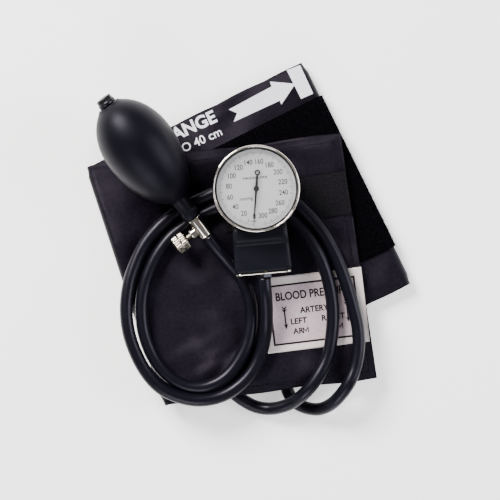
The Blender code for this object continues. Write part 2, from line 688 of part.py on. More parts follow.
def make_face():
    """Dial, pointer, spacer ring, glass and bezel, from the case's rim upwards."""
    flat_piece("dial_plate", [circle(DIAL_RADIUS, 40), circle(1.2 * MM, 16)],
               DIAL_Z, DIAL_Z + 0.6 * MM, GAUGE, WHITE_ENAMEL)
    make_pointer()
    low = DIAL_Z + 0.6 * MM + GAP
    ring = [(22.6 * MM, LENS_Z - GAP), (DIAL_RADIUS, LENS_Z - GAP), (DIAL_RADIUS, low), (22.6 * MM, low)]
    turned("glass_spacer", ring, GAUGE, BLACK_RUBBER, 36)
    profile = [(0, LENS_Z + 1.4 * MM), (22.2 * MM, LENS_Z + 1.4 * MM), (DIAL_RADIUS, LENS_Z + 1.1 * MM),
               (DIAL_RADIUS, LENS_Z), (0, LENS_Z)]
    turned("gauge_glass", profile, GAUGE, GLASS, 36)
    bezel = mm((23.2, 24.6), (24.4, 24.3), (25.0, 23.5), (25.0, 17.2), (24.3, 16.9), (24.3, 23.7),
               (22.3, 23.7), (22.3, 24.3))
    turned("bezel", bezel, GAUGE, CHROME, 48)


def make_pointer():
    needle = mm((-1.2, -0.75), (1.5, -0.6), (18.3, -0.28), (19.5, 0), (18.3, 0.28), (1.5, 0.6),
                (-1.2, 0.75), (-8.0, 0.45), (-8.0, -0.45))
    piece = flat_piece("pointer", [needle], POINTER_Z, POINTER_Z + 0.5 * MM, POINTER, BLACK_PAINT)
    piece.rotation_euler = (0, 0, POINTER_ZERO)
    boss = disc("pointer_boss", 1.6 * MM, POINTER_Z, POINTER_Z + 0.9 * MM, POINTER, BLACK_PAINT, 16)
    ring = flat_piece("pointer_ring", [circle(1.6 * MM, 16), circle(0.9 * MM, 12)],
                      POINTER_Z, POINTER_Z + 0.5 * MM, POINTER, BLACK_PAINT)
    ring.location = (-9.2 * MM * math.cos(POINTER_ZERO), -9.2 * MM * math.sin(POINTER_ZERO), 0)
    join(piece, boss)
    join(piece, ring)


def make_gauge():
    make_case()
    make_clip()
    make_port()
    make_capsule()
    make_rocker()
    make_plates()
    make_sector()
    make_pinion()
    make_hairspring()
    make_face()


# ---------------------------------------------------------------- bulb


def bulb_radius(along):
    """Half an ellipse each side of the belly, blended into the straight neck."""
    half = BELLY_TO_TAIL if along < BELLY else BELLY_TO_HEAD
    share = min(abs(along - BELLY) / half, 1.0)
    belly = BULB_RADIUS * math.sqrt(1 - share * share)
    blend = 1.2 * MM
    return (belly + BULB_NECK_RADIUS + math.sqrt((belly - BULB_NECK_RADIUS) ** 2 + blend ** 2)) / 2


def make_bulb():
    stations = [BULB_START + (BULB_END - BULB_START) * step / BULB_RINGS for step in range(BULB_RINGS + 1)]
    outer = [(bulb_radius(s), s) for s in stations]
    inner = [(bulb_radius(s) - BULB_WALL, s) for s in stations]
    turned("bulb", list(reversed(outer)) + inner, BULB, BLACK_RUBBER, 28)
    make_inlet()
    make_release()


def make_inlet():
    """Tail end: a one-way valve; air is drawn in through its cap past a ball."""
    bore = BULB_NECK_RADIUS - BULB_WALL - GAP
    cap = mm((5.0, 5.0), (5.3, 4.6), (5.3, 0.6), (4.7, 0), (1.2, 0), (1.2, 3.0), (1.9, 4.4))
    stem = [(1.9 * MM, 12 * MM), (bore, 12 * MM), (bore, 5.0 * MM)]
    turned("inlet_valve", stem + cap, BULB, NICKEL, 20)
    ball = turned("inlet_ball", ball_profile(1.45 * MM), INLET_BALL, STEEL, 14)
    ball.location = (0, 0, 0)
    keeper = mm((0.6, 11.6), (1.6, 11.6), (1.6, 9.2), (0.6, 9.2))
    turned("ball_keeper", keeper, BULB, BRASS, 20)


def ball_profile(radius):
    return [(radius * math.sin(math.pi * k / 8), radius * math.cos(math.pi * k / 8)) for k in range(9)]


def make_release():
    """Head end: the release valve, its screw standing across the bulb's axis."""
    bore = BULB_NECK_RADIUS - BULB_WALL - GAP
    start = BULB_END - 12 * MM
    end = VALVE_END
    shoulder = BULB_END + GAP
    profile = [(1.3 * MM, end), (VALVE_RADIUS - 0.8 * MM, end), (VALVE_RADIUS, end - 0.8 * MM),
               (VALVE_RADIUS, shoulder + 4.6 * MM), (VALVE_RADIUS - 0.5 * MM, shoulder + 4.1 * MM),
               (VALVE_RADIUS - 0.5 * MM, shoulder + 3.2 * MM), (VALVE_RADIUS, shoulder + 2.7 * MM),
               (VALVE_RADIUS, shoulder), (bore, shoulder), (bore, start), (1.3 * MM, start)]
    valve = turned("valve_body", profile, BULB, CHROME, 24)
    boss = turned("screw_boss", mm((0, 7.2), (2.9, 7.2), (3.2, 6.8), (3.2, 2.0), (0, 2.0)), SCREW, CHROME, 20)
    join(valve, boss)
    cut(valve, disc("screw_bore", 2.0 * MM, 0.4 * MM, 9 * MM, SCREW, CHROME, 16))
    tip = [(0, 0.9 * MM), (0.5 * MM, 0.9 * MM), (1.5 * MM, 2.2 * MM), (1.5 * MM, 3.0 * MM), (0, 3.0 * MM)]
    turned("seal_tip", list(reversed(tip)), SCREW, BLACK_RUBBER, 20)
    disc("release_stem", 1.6 * MM, 3.3 * MM, 9.9 * MM, SCREW, BRASS, 20)
    turned("release_knob", knob_profile(), SCREW, NICKEL, 28)


def knob_profile():
    """Two gripping bands with a groove between them and a stepped, domed end."""
    r = KNOB_RADIUS / MM
    return mm((0, 19.3), (2.4, 19.1), (3.9, 18.6), (4.4, 18.2), (r - 0.3, 18.2), (r, 17.8), (r, 15.0),
              (r - 0.7, 14.7), (r - 0.7, 14.1), (r, 13.8), (r, 11.1), (r - 0.4, 10.7), (2.2, 10.2),
              (0, 10.2))


# ---------------------------------------------------------------- hoses


def gauge_hose_route():
    """From the cuff's edge round the right, under the gauge, round the left, to its port."""
    floor = HOSE_RADIUS / MM
    port = GAUGE.matrix_world @ Vector((0, -PORT_LENGTH - GAP, PORT_Z))
    below = GAUGE.matrix_world @ Vector((0, -PORT_LENGTH - 8 * MM, PORT_Z - 0.5 * MM))
    corners = [
        (22.6, -92.6, floor), (24.4, -96.0, floor), (27.8, -99.7, floor), (33.3, -102.3, 4.6),
        (40.1, -103.0, 7.5), (46.4, -100.6, 11.5), (51.6, -95.8, 16.4), (57.7, -87.4, 19.8),
        (61.7, -77.8, 19.2), (63.6, -66.5, 19.1), (63.2, -55.0, 19.1), (60.8, -44.1, 19.1),
        (57.9, -33.6, 19.1), (54.0, -22.0, 19.1), (49.0, -10.3, 19.1), (41.6, 2.2, 19.4),
        (32.0, 13.4, 19.7), (21.4, 21.6, 19.7), (9.6, 26.6, 19.7), (-3.0, 27.8, 19.7),
        (-12.6, 26.6, 19.7), (-21.4, 23.5, 19.4), (-28.4, 20.4, 19.2), (-37.3, 16.2, 19.1),
        (-46.5, 9.9, 19.1), (-54.3, 2.6, 19.1), (-61.0, -5.9, 19.2), (-66.2, -16.4, 19.7),
        (-70.2, -29.3, 20.6), (-71.7, -44.5, 21.4), (-69.4, -60.3, 21.9), (-62.6, -76.4, 22.0),
        (-53.4, -88.1, 21.8), (-42.2, -94.4, 21.2), (-28.4, -96.8, 20.2), (-14.3, -93.6, 19.3),
        (-1.8, -84.4, 19.1), (5.8, -72.0, 19.3), (9.2, -58.5, 21.4), (9.9, -45.5, 25.6),
    ]
    hand_set = [Vector(corner) * MM for corner in corners]
    return [*neck_end(GAUGE_NECK, GAUGE_NECK_WAY), *hand_set, below, port]


def bulb_hose_route():
    """From the cuff's edge round the right, inside the other hose, to the release valve."""
    floor = HOSE_RADIUS / MM
    axis = (BULB_HEAD - BULB_TAIL).normalized()
    valve = BULB_HEAD + axis * GAP
    beyond = BULB_HEAD + axis * 8 * MM
    corners = [
        (-3.6, -98.0, floor), (3.5, -101.6, floor), (11.0, -102.8, 5.2),
        (18.4, -101.6, 8.6), (25.9, -98.2, 12.4), (32.4, -92.6, 18.0), (38.8, -84.8, 19.9),
        (45.2, -72.8, 19.2), (48.0, -59.0, 19.1), (48.6, -44.1, 19.1), (46.4, -29.1, 19.8),
        (41.8, -15.2, 21.2), (35.4, -4.2, 21.4), (27.0, 6.0, 20.2), (17.0, 13.8, 19.7),
        (5.6, 17.8, 19.7), (-7.9, 17.9, 19.7), (-20.8, 14.4, 19.4), (-31.8, 8.9, 19.1),
        (-38.6, 4.4, 19.1), (-46.2, -2.0, 19.1), (-53.5, -11.6, 19.1), (-58.8, -22.6, 19.0),
        (-62.0, -33.9, 19.0), (-62.9, -45.6, 19.0), (-61.1, -59.2, 19.0), (-55.6, -72.6, 19.0),
        (-47.6, -82.4, 19.0), (-36.7, -88.6, 19.0), (-24.5, -88.8, 19.0), (-12.6, -82.2, 19.0),
        (-3.4, -69.0, 19.1), (0.8, -53.8, 19.1), (0.2, -38.6, 19.1), (-4.6, -25.9, 19.3),
        (-11.6, -17.0, 20.9),
    ]
    hand_set = [Vector(corner) * MM for corner in corners]
    return [*neck_end(BULB_NECK, BULB_NECK_WAY), *hand_set, beyond, valve]


def make_hoses():
    tube("gauge_hose", smooth_route(gauge_hose_route(), GAUGE_HOSE_POINTS), HOSE_RADIUS, ROOT, BLACK_RUBBER)
    tube("bulb_hose", smooth_route(bulb_hose_route(), BULB_HOSE_POINTS), HOSE_RADIUS, ROOT, BLACK_RUBBER)


def axis_turn(direction):
    """Euler angles that bring +Z onto the direction and keep +X level."""
    z_axis = direction.normalized()
    x_axis = Vector((z_axis.y, -z_axis.x, 0)).normalized()
    y_axis = z_axis.cross(x_axis)
    return Matrix((x_axis, y_axis, z_axis)).transposed().to_euler()


def centre_on_base():
    """Moves the whole monitor so that its box without the hoses stands centred on the origin."""
    bpy.context.view_layer.update()
    depsgraph = bpy.context.evaluated_depsgraph_get()
    corners = []
    for piece in PARTS.objects:
        if piece.type == "MESH":
            evaluated = piece.evaluated_get(depsgraph)
            corners.extend(evaluated.matrix_world @ vertex.co for vertex in evaluated.data.vertices)
    for axis in (0, 1):
        values = [corner[axis] for corner in corners]
        ROOT.location[axis] -= (min(values) + max(values)) / 2


ROOT = add_empty("monitor")
GAUGE = add_empty("gauge", ROOT, GAUGE_CENTRE, (0, 0, GAUGE_TURN))
PORT = add_empty("port_axis", GAUGE, (0, 0, PORT_Z), (math.pi / 2, 0, 0))
ROCKER = add_empty("rocker_axis", GAUGE, (ROCKER_X, 0, ROCKER_Z))
SECTOR = add_empty("sector_axis", GAUGE, (*pivot_place(), 0))
POINTER = add_empty("pointer_axis", GAUGE)
BULB = add_empty("bulb_axis", ROOT, BULB_TAIL, axis_turn(BULB_HEAD - BULB_TAIL))
INLET_BALL = add_empty("inlet_ball_place", BULB, (0, 0, 7.0 * MM))
SCREW = add_empty("screw_axis", BULB, (0, 0, RELEASE_AT), (0, math.pi / 2, 0))
bpy.context.view_layer.update()
make_cuff()
make_gauge()
make_bulb()
make_hoses()
centre_on_base()
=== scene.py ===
# %% [markdown]
# # A hand-inflated arm blood pressure monitor
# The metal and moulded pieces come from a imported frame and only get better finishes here. The soft
# pieces, which are the folded cuff, its fuzzy tape, the label and the hoses, are made here as surfaces.

import bmesh
import bpy
import numpy as np
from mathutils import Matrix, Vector


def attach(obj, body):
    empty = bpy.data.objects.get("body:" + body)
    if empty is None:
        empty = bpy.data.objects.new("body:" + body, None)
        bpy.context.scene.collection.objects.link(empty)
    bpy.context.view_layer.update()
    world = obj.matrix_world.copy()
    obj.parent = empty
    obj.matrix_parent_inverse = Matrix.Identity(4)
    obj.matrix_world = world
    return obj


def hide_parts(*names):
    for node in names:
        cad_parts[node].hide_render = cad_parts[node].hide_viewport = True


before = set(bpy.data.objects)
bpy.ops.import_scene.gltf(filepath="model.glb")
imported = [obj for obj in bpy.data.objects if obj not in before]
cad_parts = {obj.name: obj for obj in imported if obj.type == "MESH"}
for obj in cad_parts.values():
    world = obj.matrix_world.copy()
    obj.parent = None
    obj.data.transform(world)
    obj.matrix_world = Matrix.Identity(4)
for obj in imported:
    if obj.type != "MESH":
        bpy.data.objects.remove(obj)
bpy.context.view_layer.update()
MM = 0.001

# %% [markdown]
# ## Camera
# The monitor is looked at from straight above. A long lens from 1.3 m keeps the tall gauge and bulb
# only slightly larger than the cloth below them.

# %% Camera
CAMERA_HEIGHT = 1300 * MM
VIEW_WIDTH = 292.5 * MM             # seen at the height of the cuff's top
CUFF_TOP = 14 * MM
VIEW_CENTRE = (0.6 * MM, -9.8 * MM)
SENSOR = 36.0


def new_object(name, data):
    """A new object in the scene that shows the given data."""
    made = bpy.data.objects.new(name, data)
    bpy.context.scene.collection.objects.link(made)
    return made


lens = bpy.data.cameras.new("studio_camera")
lens.sensor_width = SENSOR
lens.lens = SENSOR * (CAMERA_HEIGHT - CUFF_TOP) / VIEW_WIDTH
lens.clip_start = 0.05
camera = new_object("studio_camera", lens)
camera.location = (*VIEW_CENTRE, CAMERA_HEIGHT)
bpy.context.scene.camera = camera
print("lens in mm:", round(lens.lens, 1))

# %% [markdown]
# ## Surfaces from arrays
# Most new pieces are grids of points. One helper joins neighbours into quads and closes the grid round
# where asked, another makes the mesh. Cloth gets a UV map in millimetres, so that a weave keeps its
# real scale.

# %% Grid helpers
SAME_PLACE = 1e-7
FRAME_SHIFT = np.array([0.2735, -0.4339, 0.0])      # the cuff's drawing in the frame, in mm


def quads(rows, columns, wrap_rows=False, wrap_columns=False):
    """Corner numbers of the quads of a rows x columns grid of points."""
    i, j = np.meshgrid(np.arange(rows - (not wrap_rows)), np.arange(columns - (not wrap_columns)),
                       indexing="ij")
    a, b = i, (i + 1) % rows
    c, d = j, (j + 1) % columns
    faces = np.stack([a * columns + c, a * columns + d, b * columns + d, b * columns + c], -1)
    return faces.reshape(-1, 4)


def mesh_piece(name, points, faces, uv=None, smooth=True):
    """A mesh object from points and faces, with a UV map where each point has a UV."""
    mesh = bpy.data.meshes.new(name)
    mesh.from_pydata(points, [], faces, shade_flat=not smooth)
    if uv is not None:
        give_uv(mesh, uv)
    return new_object(name, mesh)


def give_uv(mesh, uv):
    index = np.empty(len(mesh.loops), dtype=np.int32)
    mesh.loops.foreach_get("vertex_index", index)
    mesh.uv_layers.new(name="cloth").data.foreach_set("uv", uv[index].astype(np.float32).ravel())


def in_frame(points):
    """Points of the cuff's drawing, in mm, as places in the frame, in metres."""
    return (points.reshape(-1, 3) + FRAME_SHIFT) * MM


def band_faces(rows, across):
    """Faces of a closed band; a row runs over the upper side and back along the lower one."""
    size = 2 * across
    k = np.arange(across - 1)
    cap = np.stack([k, k + 1, size - 2 - k, size - 1 - k], -1)
    return np.concatenate([quads(rows, size, wrap_columns=True)[:, ::-1], cap[:, ::-1],
                           cap + (rows - 1) * size])


def closed_piece(piece):
    """Join doubled points, so that ends and poles are closed, and turn every face outwards."""
    shape = bmesh.new()
    shape.from_mesh(piece.data)
    bmesh.ops.remove_doubles(shape, verts=shape.verts, dist=SAME_PLACE)
    bmesh.ops.recalc_face_normals(shape, faces=shape.faces)
    shape.to_mesh(piece.data)
    shape.free()
    piece.data.shade_smooth()
    return piece


# %% [markdown]
# ## Materials
# Colours are given as the eye sees them on a screen and turned into light amounts. A material is a
# Principled shader plus a few nodes that each come from one helper. Patterns are measured in real
# millimetres, from object coordinates or from the piece's own UV map.

# %% Material helpers
def linear(hex_colour, alpha=1.0):
    """The light amounts of a screen colour such as "c8beaf"."""
    value = np.array([int(hex_colour[k:k + 2], 16) for k in (0, 2, 4)]) / 255
    light = np.where(value <= 0.04045, value / 12.92, ((value + 0.055) / 1.055) ** 2.4)
    return (*[float(channel) for channel in light], alpha)


def node(tree, kind, inputs=None, **settings):
    """Add a node, set its properties and its inputs; an input may be another node's output."""
    made = tree.nodes.new(kind)
    for name, value in settings.items():
        setattr(made, name, value)
    for socket, value in (inputs or {}).items():
        if isinstance(value, bpy.types.NodeSocket):
            tree.links.new(value, made.inputs[socket])
        else:
            made.inputs[socket].default_value = value
    return made


def material(name, colour, roughness, metallic=0.0, **inputs):
    """A Principled material; other inputs are named with underscores for spaces."""
    made = bpy.data.materials.new(name)
    made.use_nodes = True
    shader = made.node_tree.nodes["Principled BSDF"]
    shader.inputs["Base Color"].default_value = linear(colour)
    shader.inputs["Roughness"].default_value = roughness
    shader.inputs["Metallic"].default_value = metallic
    for socket, value in inputs.items():
        shader.inputs[socket.replace("_", " ")].default_value = value
    return made


def scaled(tree, place, scale):
    return node(tree, "ShaderNodeVectorMath", {0: place, 1: (scale,) * 3}, operation="MULTIPLY").outputs[0]


def object_place(tree):
    """Object coordinates in millimetres."""
    return scaled(tree, node(tree, "ShaderNodeTexCoord").outputs["Object"], 1 / MM)


def uv_place(tree, scale=1.0):
    """The piece's own UV map, which is in millimetres of cloth."""
    return scaled(tree, node(tree, "ShaderNodeUVMap", uv_map="cloth").outputs[0], scale)


def noise(tree, place, size, detail=3.0):
    """Cloudy noise whose blobs are about the given size in mm."""
    return node(tree, "ShaderNodeTexNoise",
                {"Vector": place, "Scale": 1.0 / size, "Detail": detail}).outputs["Fac"]


def ramp(tree, value, low, high, start=0.0, end=1.0):
    """Map a value from start..end to low..high."""
    return node(tree, "ShaderNodeMapRange", {"Value": value, "From Min": start, "From Max": end,
                                              "To Min": low, "To Max": high}).outputs[0]


def mixed(tree, factor, first, second):
    """A colour between two screen colours."""
    return node(tree, "ShaderNodeMix", {"Factor": factor, 6: linear(first), 7: linear(second)},
                data_type="RGBA").outputs[2]


def bump(tree, height, distance, strength=1.0, normal=None):
    inputs = {"Height": height, "Distance": distance, "Strength": strength}
    if normal is not None:
        inputs["Normal"] = normal
    return node(tree, "ShaderNodeBump", inputs).outputs[0]


def plug(made, **links):
    """Link outputs to the shader's inputs, named with underscores for spaces."""
    tree = made.node_tree
    for socket, output in links.items():
        tree.links.new(output, tree.nodes["Principled BSDF"].inputs[socket.replace("_", " ")])


# %% [markdown]
# ### Cloths
# The cuff is a tightly woven black nylon: a plain weave of threads 0.45 mm apart that only shows as a
# fine grain, with a dull bluish sheen from the fibres. The weave is two crossed waves, so the bumps
# stand where a thread passes over another.

# %% Nylon, pile, hook, webbing and satin
DYE_SIZE = 2.0                      # of the blobs where the dye is uneven, in mm
PUCKER_SIZE = 42.0                  # of the soft puckers, in mm


def maths(tree, operation, first, second=0.0):
    return node(tree, "ShaderNodeMath", {0: first, 1: second}, operation=operation).outputs[0]


def woven(name, colour, lit, thread, depth, roughness, sheen=0.0, pucker=0.0, shine=0.1):
    """Plain weave: crossed sine waves for the threads, noise for uneven dye and for soft puckers."""
    made = material(name, colour, roughness, Sheen_Weight=sheen, Sheen_Roughness=0.45,
                    Specular_IOR_Level=shine)
    tree = made.node_tree
    parts = node(tree, "ShaderNodeSeparateXYZ", {0: uv_place(tree, 1.0 / thread)})
    crossed = [maths(tree, "SINE", maths(tree, "MULTIPLY", parts.outputs[k], np.pi)) for k in (0, 1)]
    weave = maths(tree, "MULTIPLY", *crossed)
    dye = noise(tree, uv_place(tree), DYE_SIZE, 6.0)
    slow = bump(tree, noise(tree, uv_place(tree), PUCKER_SIZE, 1.0), pucker * MM)
    plug(made, Base_Color=mixed(tree, ramp(tree, dye, 0, 1, 0.35, 0.68), colour, lit),
         Normal=bump(tree, weave, depth * MM, 1.0, slow))
    return made


# Loop pile, the soft half of a touch fastener: deep black because light is lost between loops.
loop_pile = material("loop_pile", "050306", 1.0, Specular_IOR_Level=0.0)
pile_tree = loop_pile.node_tree
pile_noise = noise(pile_tree, object_place(pile_tree), 0.7, 4.0)
plug(loop_pile, Normal=bump(pile_tree, pile_noise, 0.9 * MM),
     Base_Color=mixed(pile_tree, ramp(pile_tree, pile_noise, 0, 1, 0.4, 0.7), "020203", "0a080c"))

FINISHES = {
    "loop_pile": loop_pile,
    # Nylon taffeta for the cuff: black with a cold sheen.
    "nylon": woven("black_nylon_taffeta", "040207", "0e0a13", thread=0.45, depth=0.05, roughness=0.44,
                   sheen=0.03, pucker=14.0, shine=0.13),
    # Polyester webbing, a coarser weave that looks greyer and drier.
    "webbing": woven("polyester_webbing", "050307", "09060c", thread=0.8, depth=0.3, roughness=0.45,
                     sheen=0.02, pucker=4.0),
    # Satin of the label: smooth and pinkish silver.
    "satin": woven("silver_satin", "a8989e", "b2a4a9", thread=0.3, depth=0.012, roughness=0.42, sheen=0.1),
    # Hook tape, the stiff half of the fastener.
    "hook_tape": woven("hook_tape", "0c0c0e", "151518", thread=1.2, depth=0.5, roughness=0.55),
}
nylon_shader = FINISHES["nylon"].node_tree.nodes["Principled BSDF"]
nylon_shader.inputs["Specular Tint"].default_value = linear("e2d8f2")
satin_border = woven("cream_satin", "c4bab8", "ccc3c0", thread=0.3, depth=0.012, roughness=0.42, sheen=0.1)

# The tape's loose threads catch a little more light than the mat below them.
thread_tips = material("pile_thread_tips", "131017", 0.9, Specular_IOR_Level=0.08)

# Print on the cuff: off-white ink that lets the weave through.
white_ink = woven("white_screen_ink", "dcdce6", "e6e6ef", thread=0.45, depth=0.05, roughness=0.6)
grey_ink = material("grey_label_ink", "181216", 0.6, Specular_IOR_Level=0.1)
sewing_thread = material("black_sewing_thread", "0e0b11", 0.7, Specular_IOR_Level=0.08)

# %% [markdown]
# ### Rubber, plastic, metal, glass
# Rubber is dark and half matte; slow noise in its roughness breaks the highlight as handled rubber
# does. Metals keep a plain reflection, only a little uneven.

# %% Rubber, plastic, metal, glass
def smudged(made, low, high, size, bump_depth=0.0):
    """Give a material uneven roughness and, if wanted, a shallow orange-peel bump."""
    tree = made.node_tree
    cloud = noise(tree, object_place(tree), size)
    plug(made, Roughness=ramp(tree, cloud, low, high, 0.35, 0.65))
    if bump_depth:
        plug(made, Normal=bump(tree, noise(tree, object_place(tree), size / 6), bump_depth * MM))
    return made


# Material name, colour, roughness, metallic; then its roughness from, to, and the smudges' size in mm.
SMUDGED = {
    "bladder_rubber": ("bladder_rubber", "17181c", 0.5, 0.0, 0.45, 0.6, 5.0),
    "black_rubber": ("black_seal_rubber", "101013", 0.5, 0.0, 0.4, 0.6, 3.0),
    "chrome": ("chrome_plate", "d6cfc4", 0.05, 1.0, 0.035, 0.07, 9.0),
    "nickel": ("nickel_plate", "979084", 0.22, 1.0, 0.18, 0.28, 4.0),
    "black_nickel": ("black_nickel_plate", "26262a", 0.3, 0.85, 0.25, 0.4, 4.0),
    "brass": ("turned_brass", "c9a55a", 0.26, 1.0, 0.22, 0.34, 3.0),
    "bronze": ("beryllium_bronze", "c08a52", 0.28, 1.0, 0.24, 0.36, 3.0),
    "steel": ("bright_steel", "b4b4b6", 0.25, 1.0, 0.2, 0.32, 3.0),
    "dial_enamel": ("white_dial_enamel", "f6f6f8", 0.4, 0.0, 0.35, 0.45, 6.0),
}
for slot_name, values in SMUDGED.items():
    FINISHES[slot_name] = smudged(material(*values[:4]), *values[4:])

# Moulded rubber of the bulb: satin black, slightly blue.
bulb_rubber = material("bulb_rubber", "07070d", 0.42, Specular_IOR_Level=0.12,
                       Specular_Tint=linear("e2e0f4"))
FINISHES["bulb_rubber"] = smudged(bulb_rubber, 0.39, 0.45, 9.0, 0.01)
# Extruded hose rubber: smoother, with a thin soft highlight.
hose_rubber = material("hose_rubber", "08080f", 0.34, Specular_IOR_Level=0.2,
                       Specular_Tint=linear("e8e2f2"))
FINISHES["hose_rubber"] = smudged(hose_rubber, 0.31, 0.37, 7.0, 0.01)
# Moulded glass-filled nylon of the gauge case.
case_nylon = material("moulded_black_nylon", "090a11", 0.46, Specular_IOR_Level=0.11)
FINISHES["moulding"] = smudged(case_nylon, 0.41, 0.47, 6.0, 0.006)
FINISHES["black_paint"] = material("black_pointer_paint", "121214", 0.4)
# Flat mineral glass, clear: light goes straight through, the surface mirrors a little.
FINISHES["glass"] = material("mineral_glass", "ffffff", 0.02, Transmission_Weight=1.0, IOR=1.5)
dial_ink = material("brown_dial_ink", "33271f", 0.6)

# %% [markdown]
# ### Finishes on the frame's own pieces
# The hard pieces of the frame already have the right shape, so most of them keep it: the material
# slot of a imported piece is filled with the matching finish.

# %% Put the finishes on
def finished(piece, slot_name, *nodes, finish=None, body="body"):
    """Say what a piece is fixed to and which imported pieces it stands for, and give it its finish."""
    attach(piece, body)
    if nodes:
        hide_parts(*nodes)
    piece.data.materials.append(finish or FINISHES[slot_name])
    print(piece.name, len(piece.data.polygons), "faces")
    return piece


for finish_name, names in {
    "chrome": "spring_clip bezel valve_body", "moulding": "gauge_case", "nickel": "inlet_valve release_stem",
    "brass": "gauge_port feed_tube lower_plate upper_plate sector_gear ball_keeper "
             "plate_pillar_1 plate_pillar_2 plate_pillar_3",
    "bronze": "capsule hairspring", "dial_enamel": "dial_plate", "black_paint": "pointer",
    "steel": "capsule_stud rocking_shaft sector_arbor pointer_pinion inlet_ball movement_screw_1 "
             "movement_screw_2 movement_screw_3",
    "black_nickel": "port_nut", "black_rubber": "glass_spacer seal_tip", "glass": "gauge_glass",
    "bulb_rubber": "bulb",
}.items():
    for name in names.split():
        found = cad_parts[name]
        for shown in found if isinstance(found, (list, tuple)) else [found]:
            shown.material_slots[0].material = FINISHES[finish_name]
print(len(FINISHES), "finishes are ready")

# %% [markdown]
# ## Floor and light
# A pale floor under soft light. The strongest panel hangs at the upper left, as a window would; weaker
# ones fill from the right and from the front. The chrome gets its bands from the panels' edges.

# %% Floor and lights
REACH = 3.0                         # half the floor's side, in metres

floor_mesh = bpy.data.meshes.new("table_top")
floor_corners = [(-REACH, -REACH, 0), (REACH, -REACH, 0), (REACH, REACH, 0), (-REACH, REACH, 0)]
floor_mesh.from_pydata(floor_corners, [], [(0, 1, 2, 3)])
floor = new_object("table_top", floor_mesh)
floor.location.z = -0.05 * MM
floor_mesh.materials.append(material("pale_table", "fdfdfd", 0.9, Specular_IOR_Level=0.1,
                                     Emission_Color=linear("ffffff"), Emission_Strength=0.7))


def soft_light(name, size, place, power, colour):
    """A square soft light that faces the middle of the cuff."""
    light = bpy.data.lights.new(name, "AREA")
    light.size = size
    light.energy = power
    light.color = linear(colour)[:3]
    lamp = new_object(name, light)
    lamp.location = place
    aim = Vector((0, 0, 0.02)) - Vector(place)
    lamp.rotation_euler = aim.to_track_quat("-Z", "Y").to_euler()


soft_light("window_panel", 0.6, (-0.75, 0.85, 0.95), 68, "fffaf6")
soft_light("right_panel", 0.9, (1.3, 0.1, 0.9), 24, "f6f7ff")
soft_light("front_panel", 0.9, (-0.2, -1.3, 0.9), 20, "fbfaff")
world = bpy.data.worlds.new("studio")
world.use_nodes = True
world.node_tree.nodes["Background"].inputs["Color"].default_value = linear("f6f5f6")
world.node_tree.nodes["Background"].inputs["Strength"].default_value = 0.24
bpy.context.scene.world = world

# %% [markdown]
# ## Hoses
# Both hoses are black rubber, 7.6 mm across, a little under half a metre long. They leave the cuff's lower
# edge, loop over the table and back onto the cloth, pass under the gauge and make one large round.
# A hose is a circle carried along a smooth curve. One guide direction, just off the vertical, sets how
# each circle is turned, so the wall doesn't twist.

# %% Hose routes
HOSE_DIAMETER = 7.6 * MM

GAUGE_HOSE_ROUTE = [
    (21.36, -87.65, 3.8), (21.92, -89.57, 3.8),
    (22.6, -92.6, 3.8), (24.4, -96.0, 3.8), (27.8, -99.7, 3.8), (33.3, -102.3, 4.6),
    (40.1, -103.0, 7.5), (46.4, -100.6, 11.5), (51.6, -95.8, 16.4), (57.7, -87.4, 19.8),
    (61.7, -77.8, 19.2), (63.6, -66.5, 19.1), (63.2, -55.0, 19.1), (60.8, -44.1, 19.1),
    (57.9, -33.6, 19.1), (54.0, -22.0, 19.1), (49.0, -10.3, 19.1), (41.6, 2.2, 19.4),
    (32.0, 13.4, 19.7), (21.4, 21.6, 19.7), (9.6, 26.6, 19.7), (-3.0, 27.8, 19.7),
    (-12.6, 26.6, 19.7), (-21.4, 23.5, 19.4), (-28.4, 20.4, 19.2), (-37.3, 16.2, 19.1),
    (-46.5, 9.9, 19.1), (-54.3, 2.6, 19.1), (-61.0, -5.9, 19.2), (-66.2, -16.4, 19.7),
    (-70.2, -29.3, 20.6), (-71.7, -44.5, 21.4), (-69.4, -60.3, 21.9), (-62.6, -76.4, 22.0),
    (-53.4, -88.1, 21.8), (-42.2, -94.4, 21.2), (-28.4, -96.8, 20.2), (-14.3, -93.6, 19.3),
    (-1.8, -84.4, 19.1), (5.8, -72.0, 19.3), (9.2, -58.5, 21.4), (9.9, -45.5, 25.6),
    (9.14, -33.07, 29.5), (8.45, -25.4, 30.0),
]
BULB_HOSE_ROUTE = [
    (-10.16, -93.18, 3.8), (-8.56, -94.38, 3.8),
    (-3.6, -98.0, 3.8), (3.5, -101.6, 3.8), (11.0, -102.8, 5.2),
    (18.4, -101.6, 8.6), (25.9, -98.2, 12.4), (32.4, -92.6, 18.0), (38.8, -84.8, 19.9),
    (45.2, -72.8, 19.2), (48.0, -59.0, 19.1), (48.6, -44.1, 19.1), (46.4, -29.1, 19.8),
    (41.8, -15.2, 21.2), (35.4, -4.2, 21.4), (27.0, 6.0, 20.2), (17.0, 13.8, 19.7),
    (5.6, 17.8, 19.7), (-7.9, 17.9, 19.7), (-20.8, 14.4, 19.4), (-31.8, 8.9, 19.1),
    (-38.6, 4.4, 19.1), (-46.2, -2.0, 19.1), (-53.5, -11.6, 19.1), (-58.8, -22.6, 19.0),
    (-62.0, -33.9, 19.0), (-62.9, -45.6, 19.0), (-61.1, -59.2, 19.0), (-55.6, -72.6, 19.0),
    (-47.6, -82.4, 19.0), (-36.7, -88.6, 19.0), (-24.5, -88.8, 19.0), (-12.6, -82.2, 19.0),
    (-3.4, -69.0, 19.1), (0.8, -53.8, 19.1), (0.2, -38.6, 19.1), (-4.6, -25.9, 19.3),
    (-11.6, -17.0, 20.9),
    (-19.61, -7.58, 23.95), (-24.17, -1.54, 25.35),
]

